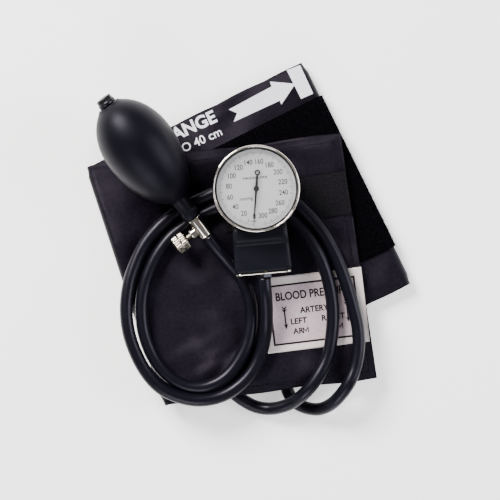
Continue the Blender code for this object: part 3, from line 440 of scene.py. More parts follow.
GUIDE = np.array([0.013, 0.021, 1.0])
HOSE_SPACING = 1.5 * MM                             # between two rings of a hose


def smooth_curve(corners, steps=24):
    """Cubic pieces through the corners; at each one the slope is that of its neighbours."""
    points = np.vstack([corners[0], corners, corners[-1]])
    before, start, end, after = points[:-3], points[1:-2], points[2:-1], points[3:]
    t = np.linspace(0, 1, steps, endpoint=False)[None, :, None]
    leave = (end - before)[:, None] / 2
    arrive = (after - start)[:, None] / 2
    curve = ((2 * t**3 - 3 * t**2 + 1) * start[:, None] + (t**3 - 2 * t**2 + t) * leave
             + (3 * t**2 - 2 * t**3) * end[:, None] + (t**3 - t**2) * arrive)
    return np.vstack([curve.reshape(-1, 3), corners[-1]])


def even_spacing(curve, spacing):
    """The same curve with points a fixed distance apart, and its length."""
    along = np.concatenate([[0], np.cumsum(np.linalg.norm(np.diff(curve, axis=0), axis=1))])
    places = np.linspace(0, along[-1], int(round(along[-1] / spacing)) + 1)
    return np.stack([np.interp(places, along, curve[:, k]) for k in range(3)], -1), along[-1]


def unit(vectors):
    return vectors / np.linalg.norm(vectors, axis=-1, keepdims=True)


def round_bar(name, path, radius, sides=24):
    """A closed round bar: rings square to the path, and smaller ones that close both ends."""
    path = np.asarray(path)
    ahead = unit(np.gradient(path, axis=0))
    side = unit(np.cross(GUIDE, ahead))
    up = np.cross(ahead, side)
    turn = np.linspace(0, 2 * np.pi, sides, endpoint=False)[None, :, None]
    ring = side[:, None] * np.cos(turn) + up[:, None] * np.sin(turn)
    count = len(path)
    size = np.concatenate([[0.0, 0.6], np.ones(count), [0.6, 0.0]])[:, None, None]
    row = np.concatenate([[0, 0], np.arange(count), [count - 1, count - 1]])
    rings = path[row, None] + ring[row] * size * radius
    u, v = np.meshgrid(np.arange(len(row)) / len(row), np.arange(sides) / sides, indexing="ij")
    faces = quads(len(row), sides, wrap_columns=True)[:, ::-1]
    uv = np.stack([u, v], -1).reshape(-1, 2)
    return closed_piece(mesh_piece(name, rings.reshape(-1, 3), faces, uv))


def make_hose(name, route, node):
    """A limp hose from one end of its route to the other, in place of a packed one."""
    path, length = even_spacing(smooth_curve(in_frame(np.array(route))), HOSE_SPACING)
    hose = finished(round_bar(name, path, HOSE_DIAMETER / 2), "hose_rubber", node)
    print(name, "is", round(length / MM), "mm long")


make_hose("gauge_supply_hose", GAUGE_HOSE_ROUTE, "gauge_hose")
make_hose("bulb_supply_hose", BULB_HOSE_ROUTE, "bulb_hose")

# %% [markdown]
# ## The cuff
# The cuff is one padded strip, 145 mm wide, folded twice: the under panel lies on the table, the
# strip turns back over it at the right, and turns again at the left. It is built from cross lines.
# Every cross line has two ends, a direction that the cloth's face looks in, and its distance along
# the strip, so the same lines carry the cloth, the bladder and both fastener tapes.

# %% Cross lines of the folded strip
CUFF_WIDTH, UNDER_LENGTH, REAR_LENGTH = 145.0, 138.0, 163.0
FOLD_BOTTOM, FOLD_TOP = np.array([-50.6, -100.6]), np.array([-96.2, 38.6])
FRONT_ENDS = np.array([[74.8, -84.5], [53.2, 59.1]])
REAR_TURN = np.radians(26.2)
UNDER_Z, REAR_Z, FRONT_Z, HALF = 2.9, 7.7, 12.6, 1.7
RIGHT_RADIUS, LEFT_RADIUS = (REAR_Z - UNDER_Z) / 2, (FRONT_Z - REAR_Z) / 2
REAR_WAY = np.array([np.cos(REAR_TURN), np.sin(REAR_TURN)])


def straight(start, end, height, facing, count):
    """Evenly spaced cross lines of a flat panel, without the last one."""
    share = np.linspace(0, 1, count, endpoint=False)[:, None, None]
    return (start + (end - start) * share, np.full(count, height),
            np.tile([0.0, 0.0, facing], (count, 1)))


def half_turn(ends, way, radius, middle, facing, count=14):
    """Cross lines of a fold that bulges along the way by its radius, from below to above."""
    turn = np.linspace(0, np.pi, count, endpoint=False)
    bulge = np.sin(turn)[:, None] * way
    face = np.concatenate([bulge, -np.cos(turn)[:, None]], 1) * facing
    return ends + radius * bulge[:, None], middle - radius * np.cos(turn), face


def strip_lines():
    across = np.array([-REAR_WAY[1], REAR_WAY[0]]) * CUFF_WIDTH
    fold = unit(FOLD_TOP - FOLD_BOTTOM)
    inward = np.array([fold[1], -fold[0]])
    right = FOLD_BOTTOM + REAR_WAY * (REAR_LENGTH - RIGHT_RADIUS - HALF)
    right = np.array([right, right + across])
    left = np.array([FOLD_BOTTOM, FOLD_TOP]) + inward * (LEFT_RADIUS + HALF)
    parts = [
        straight(right - REAR_WAY * UNDER_LENGTH, right, UNDER_Z, 1, 56),
        half_turn(right, REAR_WAY, RIGHT_RADIUS, (UNDER_Z + REAR_Z) / 2, -1),
        straight(right, left, REAR_Z, -1, 80),
        half_turn(left, -inward, LEFT_RADIUS, (REAR_Z + FRONT_Z) / 2, 1),
        straight(left, FRONT_ENDS, FRONT_Z, 1, 112),
        (FRONT_ENDS[None], np.array([FRONT_Z]), np.array([[0.0, 0.0, 1.0]])),
    ]
    ends, height, face = (np.concatenate(values) for values in zip(*parts))
    centre = np.column_stack([ends.mean(axis=1), height])
    along = np.concatenate([[0], np.cumsum(np.linalg.norm(np.diff(centre, axis=0), axis=1))])
    panel_of = np.repeat(np.arange(6), [len(part[1]) for part in parts])
    return {"ends": ends, "height": height, "face": face, "along": along, "panel": panel_of}


RIGHT_FOLD, REAR, FRONT = 1, 2, 4   # numbers of some panels; the under panel is 0, the left fold 3
LINES = strip_lines()
print("strip length in mm:", round(LINES["along"][-1], 1), "in", len(LINES["along"]), "cross lines")

# %% [markdown]
# ### How the cloth lies
# Cloth that has been folded and pressed isn't flat. The height of each panel gets three small
# additions, all in plain formulas of the place: long creases (a rounded ridge along a line), a calm
# mixture of waves, and a droop where the front panel reaches past the panels below it.

# %% Creases, waves and droop
DROOP, DEEPEST = 2.0, 0.9           # mm that the front panel sinks past the others, and in a valley
BAND_WAY = (-0.137, 0.99)           # from the front panel's upper edge to the print band


def eased_step(value):
    value = np.clip(value, 0, 1)
    return value * value * (3 - 2 * value)


def crease(x, y, start, end, width, height):
    """A ridge (or, with a negative height, a valley) along a line; it fades out at both ends."""
    start, end = np.array(start), np.array(end)
    way = unit(end - start)
    reach = np.linalg.norm(end - start)
    along = (x - start[0]) * way[0] + (y - start[1]) * way[1]
    off = (x - start[0]) * -way[1] + (y - start[1]) * way[0]
    fade = eased_step(along / (0.4 * reach)) * eased_step((reach - along) / (0.4 * reach))
    return height * fade * np.exp(-((off / width) ** 2))


FRONT_CREASES = [
    ((-62, -80), (2, -52), 3.4, 1.1), ((-52, -86), (-2, -66), 2.6, -0.8),
    ((-34, -96), (-6, -48), 3.0, 0.9), ((-24, -88), (0, -58), 2.2, -0.7),
    ((-60, -44), (-4, -20), 5.0, 0.8), ((-86, 34), (-42, -26), 5.0, 0.9),
    ((-94, 24), (-58, -66), 4.0, -0.8), ((-78, 38), (-26, 6), 3.6, -0.7),
    ((-66, -30), (-20, -70), 4.0, -0.6), ((-88, 6), (-62, -52), 3.4, 0.8),
    ((-20, 54), (12, 28), 3.4, -0.8), ((26, 54), (60, 38), 3.0, 0.8),
    ((20, -76), (72, -88), 3.6, 0.8), ((-40, -98), (44, -82), 3.0, -0.6),
    ((6, 50), (54, 45), 4.0, 0.7), ((38, 12), (64, -16), 3.6, -0.7),
    ((-12, 50), (30, 54), 3.0, -0.6), ((22, 2), (60, 4), 3.0, 0.6),
]


def waves(x, y, size, seed):
    """A calm mixture of eight waves in different directions, between about -1 and 1."""
    random = np.random.default_rng(seed)
    turn, phase = random.uniform(0, 2 * np.pi, (2, 8))
    pace = 2 * np.pi / (size * random.uniform(0.6, 1.6, 8))
    place = x[..., None] * np.cos(turn) + y[..., None] * np.sin(turn)
    return np.sin(place * pace + phase).mean(axis=-1) * 1.6


def front_lift(x, y):
    """Height in mm that the front panel gains or loses at a place."""
    beyond = (x - FOLD_BOTTOM[0]) * REAR_WAY[1] - (y - FOLD_BOTTOM[1]) * REAR_WAY[0]
    droop = -DROOP * eased_step((beyond - 8) / 46)      # from 8 to 54 mm past the rear panel's edge
    lift = 0.28 * waves(x, y, 34.0, 3) + 0.07 * waves(x, y, 9.0, 4)
    for line in FRONT_CREASES:
        lift = lift + crease(x, y, *line)
    most = 0.35 + 0.5 * eased_step((-12 - x) / 12)      # less below the webbing, label and hoses
    return droop + np.where(lift > 0, most * np.tanh(lift / most), DEEPEST * np.tanh(lift / DEEPEST))


def rear_lift(x, y):
    """The rear panel only moves where nothing lies on it: its print band and its right corner."""
    shown = eased_step(((x - FOLD_TOP[0]) * BAND_WAY[0] + (y - FOLD_TOP[1]) * BAND_WAY[1] - 4) / 14)
    corner = eased_step((x - 66) / 10)
    return np.maximum(shown, corner) * (0.35 * waves(x, y, 30.0, 5) + 0.05 * waves(x, y, 8.0, 6))


def front_top(x, y):
    """The upper side of the front panel; the left fold holds the cloth level."""
    return FRONT_Z + HALF + eased_step((x + 90) / 30) * front_lift(x, y)


def lie(points, panel_of):
    """Add the panels' own heights to an array of points given per cross line."""
    x, y = points[..., 0], points[..., 1]
    points[..., 2] += np.where(panel_of[:, None] >= FRONT, front_top(x, y) - FRONT_Z - HALF, 0.0)
    points[..., 2] += np.where(panel_of[:, None] == REAR, rear_lift(x, y), 0.0)
    return points


# %% [markdown]
# ### From lines to cloth
# A slab is a closed band over some of the cross lines. Its cross-section runs over the upper side and
# back along the lower one; it is thin at the hem, dips where the seam pulls it in, and is full in the
# middle. Both ends are closed by quads between the two sides.

# %% Slabs
FULL_FROM, SEAM_INSET = 7.0, 4.0    # mm from the edge to the full thickness, and to the seam


def slab(name, rows, low, high, middle, half, points_across, rim=0.35, hem=0.0, edge_wave=0.0):
    """A band between two fractions of the strip's width, its middle a given offset from the strip's."""
    chosen = {key: values[rows] for key, values in LINES.items()}
    share = np.linspace(low, high, points_across)
    ring = np.concatenate([share, share[::-1]])
    side = np.repeat([1.0, -1.0], points_across)
    along = chosen["along"] - chosen["along"][0]
    inset = np.minimum((ring - low), (high - ring)) * CUFF_WIDTH
    inset = np.minimum(inset[None], np.minimum(along, along[-1] - along)[:, None])
    thick = half * (rim + (1 - rim) * eased_step(inset / FULL_FROM))
    thick -= hem * np.exp(-(((inset - SEAM_INSET) / 0.8) ** 2))
    spread = ring[None] + edge_wave * (ring - 0.5)[None] * np.sin(along * 0.11)[:, None] / CUFF_WIDTH
    ends = chosen["ends"]
    flat = ends[:, :1] + (ends[:, 1:] - ends[:, :1]) * spread[..., None]
    height = np.broadcast_to(chosen["height"][:, None, None], flat.shape[:2] + (1,))
    points = np.concatenate([flat, height], -1) + chosen["face"][:, None] * (middle + side * thick)[..., None]
    points = lie(points, chosen["panel"])
    faces = band_faces(len(points), points_across)
    uv = np.stack(np.broadcast_arrays(chosen["along"][:, None], ring * CUFF_WIDTH), -1)
    return mesh_piece(name, in_frame(points), faces, uv.reshape(-1, 2))


every_line = np.arange(len(LINES["along"]))
cuff = finished(slab("folded_cuff", every_line, 0, 1, 0.0, HALF, 92, hem=0.35, edge_wave=0.9),
                "nylon", "face_cloth", "backing_cloth")

# %% [markdown]
# ### Bladder necks
# The bladder is sealed inside the front panel; only its two outlets come out under the lower edge.
# Each leaves the cloth downwards, bends and ends in a hose. They are solid here, like the hoses, as no
# bore shows. The hidden bag is a thin slab on the same cross lines.

# %% Bladder with its two necks
BEND, NECK_Z = 5.0, 3.8             # radius of a neck's bend, and height of its end, in mm


def neck_path(start, way):
    """Straight down from the bag, then a quarter turn towards the way, then 1 mm straight."""
    start, way = np.array([*start, 0.0]), np.array([*way, 0.0])
    turn = np.linspace(0, np.pi / 2, 14)[:, None]
    up = np.array([0.0, 0.0, 1.0])
    bend = start + way * BEND * (1 - np.cos(turn)) + up * (NECK_Z + BEND * (1 - np.sin(turn)))
    return np.vstack([start + up * (FRONT_Z - 0.4), bend, bend[-1] + way])


front_lines = np.flatnonzero(LINES["panel"] == FRONT)[4:-4]
finished(slab("air_bladder", front_lines, 0.06, 0.94, 0.0, 0.6, 24, rim=0.4), "bladder_rubber", "bladder")
NECKS = {"gauge": ((19.6, -81.6), (0.28, -0.96)), "bulb": ((-15.2, -89.4), (0.8, -0.6))}
for end, (start, way) in NECKS.items():
    neck = round_bar(f"bladder_neck_to_{end}", in_frame(neck_path(start, way)), 2.6 * MM, 20)
    finished(neck, "bladder_rubber", "bladder")

# %% [markdown]
# ### Fastener tapes
# The soft half of the touch fastener covers the outside of the under panel, the right fold and most of
# the rear panel. Its face is a mat of loops: the tape is a slab, and thousands of short bent threads
# stand on the part that shows, so that its outline looks hairy at the fold. The hook half is a flat
# tape between the two lower panels.

# %% Pile, its threads, and hook tape
def scatter(name, shape, faces, place, axes):
    """Many copies of one small shape; each place has three axes that carry the shape's x, y and z."""
    points = place[:, None] + np.einsum("kc,ncd->nkd", shape, axes)
    shift = np.arange(len(place))[:, None, None] * len(shape)
    faces = (faces[None] + shift).reshape(-1, faces.shape[1])
    return mesh_piece(name, points.reshape(-1, 3) * MM, faces)


panel, along = LINES["panel"], LINES["along"]
rear_share = (along - along[panel == REAR][0]) / np.ptp(along[panel == REAR])
pile_lines = np.flatnonzero((panel < REAR) | ((panel == REAR) & (rear_share < 0.82)))
PILE_LOW, PILE_HIGH = 24 / CUFF_WIDTH, 122.5 / CUFF_WIDTH
PILE_OUT, ROOT_OUT = 2.45, 2.75     # mm from the strip's middle to the tape's and to the threads' roots
TUFTS, THREAD_RADIUS = 9000, 0.16
pile = slab("loop_pile_tape", pile_lines, PILE_LOW, PILE_HIGH, -PILE_OUT, 0.45, 60, rim=0.8)
finished(pile, "loop_pile", "pile_tape")

random = np.random.default_rng(11)
off_table = (panel == RIGHT_FOLD) & (LINES["height"] > 3.6)
tuft_lines = np.flatnonzero(off_table | ((panel == REAR) & (rear_share < 0.8)))
line = tuft_lines[random.integers(0, len(tuft_lines), TUFTS)]
share = random.uniform(PILE_LOW, PILE_HIGH, TUFTS)[:, None]
root = LINES["ends"][line, 0] * (1 - share) + LINES["ends"][line, 1] * share
root = np.column_stack([root, LINES["height"][line]]) - LINES["face"][line] * ROOT_OUT
root = lie(root[:, None], panel[line])[:, 0] + FRAME_SHIFT
upright = unit(-LINES["face"][line] + random.normal(0, 0.45, (TUFTS, 3)))
across = unit(np.cross(upright, random.normal(0, 1, (TUFTS, 3))))
length = random.uniform(0.5, 1.0, (TUFTS, 1))
axes = np.stack([across * THREAD_RADIUS, np.cross(upright, across) * THREAD_RADIUS, upright * length], 1)
angle = np.arange(3) * 2 * np.pi / 3
ring = np.column_stack([np.cos(angle), np.sin(angle), np.zeros(3)])
tuft = np.vstack([ring, ring * 0.8 + [1.2, 0, 0.6], [[3.0, 0, 1.0]]])
tuft_faces = np.array([[0, 1, 4], [0, 4, 3], [1, 2, 5], [1, 5, 4], [2, 0, 3], [2, 3, 5],
                       [3, 4, 6], [4, 5, 6], [5, 3, 6], [0, 2, 1]])
finished(scatter("pile_threads", tuft, tuft_faces, root, axes), "loop_pile", finish=thread_tips)

hook_lines = np.flatnonzero((along > 4) & (along < 59))
hooks = slab("hook_tape_strip", hook_lines, PILE_LOW, PILE_HIGH, 2.4, 0.4, 24, rim=0.9)
finished(hooks, "hook_tape", "hook_tape")

# %% [markdown]
# ### Holder webbing and label
# A 74 mm piece of polyester webbing is sewn across the front panel and holds the gauge's clip. Below
# it is a satin label. Both are thin slabs that repeat the front panel's height, so they lie in its
# creases instead of floating.

# %% Pieces that lie on the front panel
def placed(centre, turn, x, y):
    """A place given in a layout that is turned about its centre."""
    return (centre[0] + x * np.cos(turn) - y * np.sin(turn),
            centre[1] + x * np.sin(turn) + y * np.cos(turn))


def plate(name, centre, size, turn, thickness, cells, gap, ribs=None):
    """A thin closed rectangle on the front panel, its lower side just above the cloth."""
    u = np.linspace(-0.5, 0.5, cells[0]) * size[0]
    v = np.linspace(-0.5, 0.5, cells[1]) * size[1]
    over = np.repeat([1.0, 0.0], len(v))
    local_u, local_v = np.meshgrid(u, np.concatenate([v, v[::-1]]), indexing="ij")
    x, y = placed(centre, turn, local_u, local_v)
    rise = ribs(local_u, local_v) if ribs else 0.0
    z = front_top(x, y) + gap + over * (thickness + rise)
    uv = np.stack([local_u, local_v], -1).reshape(-1, 2)
    return mesh_piece(name, in_frame(np.stack([x, y, z], -1)), band_faces(len(u), len(v)), uv)


def web_ribs(u, v):
    return 0.3 * np.abs(np.sin(u * np.pi / 1.6)) * eased_step((12.4 - np.abs(v)) / 1.5)


WEB_TURN = np.radians(8.6)
WEB_CENTRE = np.array([58.0, 24.4]) - 37 * np.array([np.cos(WEB_TURN), np.sin(WEB_TURN)])
webbing = plate("holder_webbing_strap", WEB_CENTRE, (74, 25), WEB_TURN, 0.7, (150, 150), 0.15, web_ribs)
finished(webbing, "webbing", "holder_webbing")

LABEL_TURN = np.radians(6.9)
LABEL_CENTRE = np.array([38.1, -44.6])
label = plate("satin_label", LABEL_CENTRE, (60, 44), LABEL_TURN, 0.25, (60, 44), 0.1)
finished(label, "satin", "cuff_label", finish=satin_border)

# %% [markdown]
# ### Print and lettering
# Ink is a few hundredths of a millimetre thick, so a print is a thin outline laid just above the
# cloth. Letters are made with the built-in typeface, turned into mesh first and only then laid down.
# A shape is cut into a grid of small faces where it is long, so that it can follow the cloth.

# %% Lettering helpers
CAP_SHARE = 0.70                    # a capital's part of the typeface's nominal size


def letters(words, cap_height, weight=0.0, width=None):
    """Corner points (x, y) in mm and faces of a word; its baseline starts at the origin."""
    curve = bpy.data.curves.new("letters", "FONT")
    curve.body = words
    curve.size = cap_height / CAP_SHARE
    curve.offset = weight
    curve.resolution_u = 4
    curve.fill_mode = "FRONT"
    holder = new_object("letters", curve)
    bpy.context.view_layer.update()
    shape = holder.evaluated_get(bpy.context.evaluated_depsgraph_get()).to_mesh()
    flat = corner_array(shape)[:, :2]
    faces = [tuple(face.vertices) for face in shape.polygons]
    bpy.data.objects.remove(holder)
    bpy.data.curves.remove(curve)
    if width is not None:
        flat = flat * [width / np.ptp(flat[:, 0]), 1.0]
    return flat, faces


def outline(corners):
    return np.array(corners, dtype=float), [tuple(range(len(corners)))]


def bars(lines, width):
    """Flat bars of one width along straight lines ((x1, y1), (x2, y2))."""
    points, faces = [], []
    for start, end in np.array(lines, dtype=float):
        way = unit(end - start) * width / 2
        side = np.array([-way[1], way[0]])
        faces.append(tuple(range(len(points), len(points) + 4)))
        points += [start - way - side, end + way - side, end + way + side, start - way + side]
    return np.array(points), faces


def gathered(shapes):
    """One array of points and one list of faces from shapes ((points, faces), origin, turn)."""
    points, faces = [], []
    for (flat, flat_faces), origin, turn in shapes:
        shift = sum(len(p) for p in points)
        points.append(np.stack(placed(origin, turn, flat[:, 0], flat[:, 1]), -1))
        faces += [tuple(k + shift for k in face) for face in flat_faces]
    return np.vstack(points), faces


def raised(flat, height):
    return np.column_stack([flat, np.full(len(flat), height)])


def corner_array(mesh):
    points = np.empty(len(mesh.vertices) * 3)
    mesh.vertices.foreach_get("co", points)
    return points.reshape(-1, 3)


def lay(name, shapes, surface, slot_name, finish=None, fineness=4.0):
    """Lay flat shapes on a surface that gives z for x and y."""
    flat, faces = gathered(shapes)
    piece = mesh_piece(name, raised(flat, 0.0), faces, smooth=False)
    mesh = piece.data
    cut_small(mesh, fineness)
    place = corner_array(mesh)
    give_uv(mesh, place[:, :2])
    place[:, 2] = surface(place[:, 0], place[:, 1])
    mesh.vertices.foreach_set("co", in_frame(place).ravel())
    mesh.update()
    finished(piece, slot_name, finish=finish)


def cut_small(mesh, fineness):
    """Cut faces along evenly spaced x and y lines, so that no edge spans much more than that."""
    shape = bmesh.new()
    shape.from_mesh(mesh)
    places = np.array([vertex.co for vertex in shape.verts])
    for axis in (0, 1):
        for place in np.arange(places[:, axis].min() + fineness, places[:, axis].max(), fineness):
            normal = Vector((1, 0, 0)) if axis == 0 else Vector((0, 1, 0))
            bmesh.ops.bisect_plane(shape, geom=shape.verts[:] + shape.edges[:] + shape.faces[:],
                                   plane_co=normal * place, plane_no=normal)
    bmesh.ops.recalc_face_normals(shape, faces=shape.faces)
    for face in shape.faces:
        if face.normal.z < 0:
            face.normal_flip()
    shape.to_mesh(mesh)
    shape.free()


# %% [markdown]
# ### Index print on the rear panel
# Along the rear panel's free edge: a white bar across its right end, a long arrow pointing at it and
# a range line in bold letters. The words are generic.

# %% Index bar, arrow and range line
def rear_top(x, y):
    return REAR_Z + HALF + rear_lift(x, y) + 0.08


arrow = outline([(26.9, 88.2), (12.1, 89.5), (13.0, 86.6), (-12.1, 73.1), (-7.2, 71.0), (-9.2, 65.9),
                 (17.8, 78.4), (18.8, 76.2)][::-1])
bar = outline([(21.9, 96.2), (30.3, 79.4), (37.4, 82.5), (29.7, 99.2)])
print_turn = REAR_TURN - np.radians(1.5)
lay("index_print", [
    (arrow, (0, 0), 0), (bar, (0, 0), 0),
    (letters("RANGE", 7.2, 0.3), (-49.5, 52.2), print_turn),
    (letters("TO 40 cm", 5.0, 0.06), (-42.6, 46.0), print_turn),
], rear_top, "nylon", white_ink)

# %% [markdown]
# ### Words and frame on the label
# The satin field sits inside a paler border. A black line frames it; a title, the artery mark, two
# down arrows and the words for both arms are set inside, all parallel to the label's lower edge.

# %% Label print
LABEL_TOP = 0.35                    # mm above the cloth
FIELD = [(-25.5, -17.5), (25, -17.5), (25, 16.8), (-25.5, 16.8)]
FIELD_EDGES = list(zip(FIELD, FIELD[1:] + FIELD[:1]))
DOWN_ARROWS, ARM_WORDS = (-17.6, 19.0), (-13.8, 6.4)


def lay_on_label(name, shapes, height, finish, fineness):
    """Lay shapes ((points, faces), origin) that are placed in the label's own layout."""
    on_cloth = [(shape, placed(LABEL_CENTRE, LABEL_TURN, *origin), LABEL_TURN) for shape, origin in shapes]
    lay(name, on_cloth, lambda x, y: front_top(x, y) + height, "satin", finish, fineness)


def down_arrow(x):
    shaft = [((x, 3.0), (x, -6.5))]
    feather = [((x + side * 1.1, top), (x, top - 1.4)) for top in (4.0, 2.4) for side in (-1, 1)]
    head = outline([(x - 1.3, -6.0), (x, -9.2), (x + 1.3, -6.0), (x, -6.7)])
    return [(bars(shaft, 0.85), (0, 0)), (bars(feather, 0.6), (0, 0)), (head, (0, 0))]


def arm_word(x):
    """The word ARM; its last letter is made of bars, which stay clean at this weight."""
    corners = [(0, 0.2), (0, 3.1), (1.45, 0.9), (2.9, 3.1), (2.9, 0.2)]
    return [(letters("AR", 3.3, 0.12), (x, -12.4)),
            (bars(list(zip(corners, corners[1:])), 0.5), (x + 5.9, -12.4))]


lay_on_label("satin_field", [(outline(FIELD), (0, 0))], LABEL_TOP + 0.05, FINISHES["satin"], 2.0)
lay_on_label("label_print", [
    (bars(FIELD_EDGES, 1.1), (0, 0)), *[shape for x in DOWN_ARROWS for shape in down_arrow(x)],
    (letters("BLOOD PRESSURE", 4.6, 0.16, 43.0), (-22.0, 8.0)),
    (letters("ARTERY", 3.4, 0.14, 17.0), (-8.4, -0.6)),
    (letters("LEFT", 3.3, 0.13), (-14.8, -6.6)), (letters("RIGHT", 3.3, 0.13), (3.4, -6.6)),
    *[shape for x in ARM_WORDS for shape in arm_word(x)],
], LABEL_TOP + 0.1, grey_ink, 2.5)

# %% [markdown]
# ### Sewing
# Seams are lines of single stitches. One stitch is a short rounded rod, half sunk into the cloth. It
# is repeated along the hems, the rear panel's free edge and, closer together, on the webbing.

# %% Stitches
PITCH, FINE_PITCH = 2.8, 2.2        # mm from stitch to stitch
ROD_SIDES = 8
HEM_RUNS = [((0.04, 0.03), (0.97, 0.03)), ((0.04, 0.97), (0.97, 0.97)), ((0.97, 0.03), (0.97, 0.97))]
WEB_RUNS = [((-35, 11.2), (35.5, 11.2)), ((-35, -11.2), (35.5, -11.2)), ((35, -11), (35, 11)),
            ((31.5, -11), (31.5, 11))]


def front_place(u, v):
    """A place on the front panel: u runs from the left fold to the right end, v from low to high."""
    left = np.array([FOLD_BOTTOM, FOLD_TOP])
    low, high = left + (FRONT_ENDS - left) * u
    return low + (high - low) * v


def stitch_line(start, end, surface, sunk, pitch=PITCH):
    """Places of the stitches from start to end and the way they run; sunk is below the surface."""
    start, end = np.array(start, dtype=float), np.array(end, dtype=float)
    count = max(int(np.linalg.norm(end - start) / pitch), 2)
    flat = start + (end - start) * (np.arange(count)[:, None] + 0.5) / count
    place = np.column_stack([flat, surface(flat[:, 0], flat[:, 1]) - sunk])
    return place, np.tile(np.append(unit(end - start), 0.0), (count, 1))


seams = [stitch_line(front_place(*start), front_place(*end), front_top, 0.15) for start, end in HEM_RUNS]
seams += [stitch_line(placed(WEB_CENTRE, WEB_TURN, *start), placed(WEB_CENTRE, WEB_TURN, *end),
                      front_top, -0.95, FINE_PITCH) for start, end in WEB_RUNS]
seams.append(stitch_line((-35.0, 41.0), (41.5, 78.9), rear_top, -0.05))
seam_place, seam_way = (np.concatenate(values) for values in zip(*seams))
seam_axes = np.stack([seam_way, np.cross([0.0, 0.0, 1.0], seam_way) * 0.24,
                      np.tile([0.0, 0.0, 0.22], (len(seam_way), 1))], 1)
rod_turn = np.arange(ROD_SIDES) * 2 * np.pi / ROD_SIDES
rod_ring = np.column_stack([np.zeros(ROD_SIDES), np.cos(rod_turn), np.sin(rod_turn)])
ROD_RINGS = [(-1, 0.0), (-0.85, 0.7), (-0.4, 1.0), (0.4, 1.0), (0.85, 0.7), (1, 0.0)]
stitch = np.concatenate([rod_ring * size + [place, 0, 0] for place, size in ROD_RINGS])
stitch_faces = quads(len(ROD_RINGS), ROD_SIDES, wrap_columns=True)
stitches = scatter("seam_stitches", stitch, stitch_faces, seam_place + FRAME_SHIFT, seam_axes)
finished(closed_piece(stitches), "nylon", finish=sewing_thread)

# %% [markdown]
# ## Turned pieces
# The bulb, its valves, the bezel and the gauge's case are round about an axis. Each is a profile
# spun in the axis's own frame. The corners of a profile are cut off, mostly twice, which gives every
# edge a small real radius that catches light.

# %% Frames of the gauge, bulb and release screw
GAUGE_CENTRE = np.array([3.9, 25.6, 24.8]) + FRAME_SHIFT
GAUGE_TURN = np.radians(5.1)
GAUGE_AXES = np.eye(3)
GAUGE_AXES[:2, :2] = np.transpose(placed((0, 0), GAUGE_TURN, *np.eye(2)))
BULB_TAIL = np.array([-83.9, 77.6, 43.6]) + FRAME_SHIFT
BULB_HEAD = np.array([-24.35, -1.3, 25.4]) + FRAME_SHIFT
bulb_z = unit(BULB_HEAD - BULB_TAIL)
bulb_x = unit(np.array([bulb_z[1], -bulb_z[0], 0.0]))
bulb_y = np.cross(bulb_z, bulb_x)
BULB_AXES = np.array([bulb_x, bulb_y, bulb_z])
SCREW_FROM_TAIL = 94.3
SCREW_CENTRE = BULB_TAIL + bulb_z * SCREW_FROM_TAIL
SCREW_AXES = np.array([-bulb_z, bulb_y, bulb_x])
BULB, SCREW, GAUGE = (BULB_TAIL, BULB_AXES), (SCREW_CENTRE, SCREW_AXES), (GAUGE_CENTRE, GAUGE_AXES)
CORNER_CUT = 0.5                    # mm, the most that is cut off beside a corner


def eased_corners(profile, times=2, closed=True):
    """Cut every corner of a profile at a quarter of its sides, but not further from it than allowed."""
    points = np.array(profile, dtype=float)
    for _ in range(times):
        after = np.roll(points, -1, axis=0) if closed else points[1:]
        before = points if closed else points[:-1]
        side = after - before
        reach = np.minimum(0.25, CORNER_CUT / np.maximum(np.linalg.norm(side, axis=1), 1e-9))[:, None]
        cut = np.stack([before + side * reach, after - side * reach], 1).reshape(-1, 2)
        points = cut if closed else np.vstack([points[:1], cut[1:-1], points[-1:]])
    return points


def spun(profile, centre, axes, segments, closed=True, grip=None):
    """Points and faces of a profile of (radius, height) spun round an axis; grip changes the radius."""
    profile = np.asarray(profile, dtype=float)
    turn = np.linspace(0, 2 * np.pi, segments, endpoint=False)
    radius = np.broadcast_to(profile[:, :1], (len(profile), segments))
    if grip is not None:
        radius = radius + grip(profile[:, 1][:, None], turn[None])
    local = np.stack([radius * np.cos(turn), radius * np.sin(turn),
                      np.broadcast_to(profile[:, 1:], radius.shape)], -1)
    faces = quads(len(profile), segments, wrap_rows=closed, wrap_columns=True)
    return (local @ axes + centre).reshape(-1, 3), faces


def spun_piece(name, shapes, slot_name, *nodes, **settings):
    """One finished piece out of several closed shapes given as points in mm and faces."""
    points, faces = [], []
    for shape_points, shape_faces in shapes:
        faces.append(shape_faces + sum(len(p) for p in points))
        points.append(shape_points)
    piece = closed_piece(mesh_piece(name, np.concatenate(points) * MM, np.concatenate(faces)))
    return finished(piece, slot_name, *nodes, **settings)


# %% [markdown]
# ### Bulb and its valves
# The bulb is two half ellipses that meet at the belly and blend into a straight neck with a thicker
# rim. It is hollow, with a wall of 2 mm. At its tail sits the black inlet cap with a small hole; at its
# head the chromed release valve with a side screw. The screw's knob is gripped by the fingers, so both
# its bands are knurled: the radius swings in and out as the angle goes round.

# %% Bulb, inlet, valve body and knob
BELLY_AT, BELLY_RADIUS, WALL = 34.8, 21.0, 2.0
GROOVES, GROOVE_DEPTH = 24, 0.42


def bulb_radius(along):
    half = np.where(along < BELLY_AT, 29.8, 38.3)
    share = np.clip(np.abs(along - BELLY_AT) / half, 0, 1)
    belly = BELLY_RADIUS * np.sqrt(1 - share**2)
    neck = 4.6 + 1.5 * eased_step((80 - along) / 16) + 0.5 * np.exp(-(((along - 84.2) / 2.2) ** 4))
    return (belly + neck + np.sqrt((belly - neck) ** 2 + 9.0)) / 2


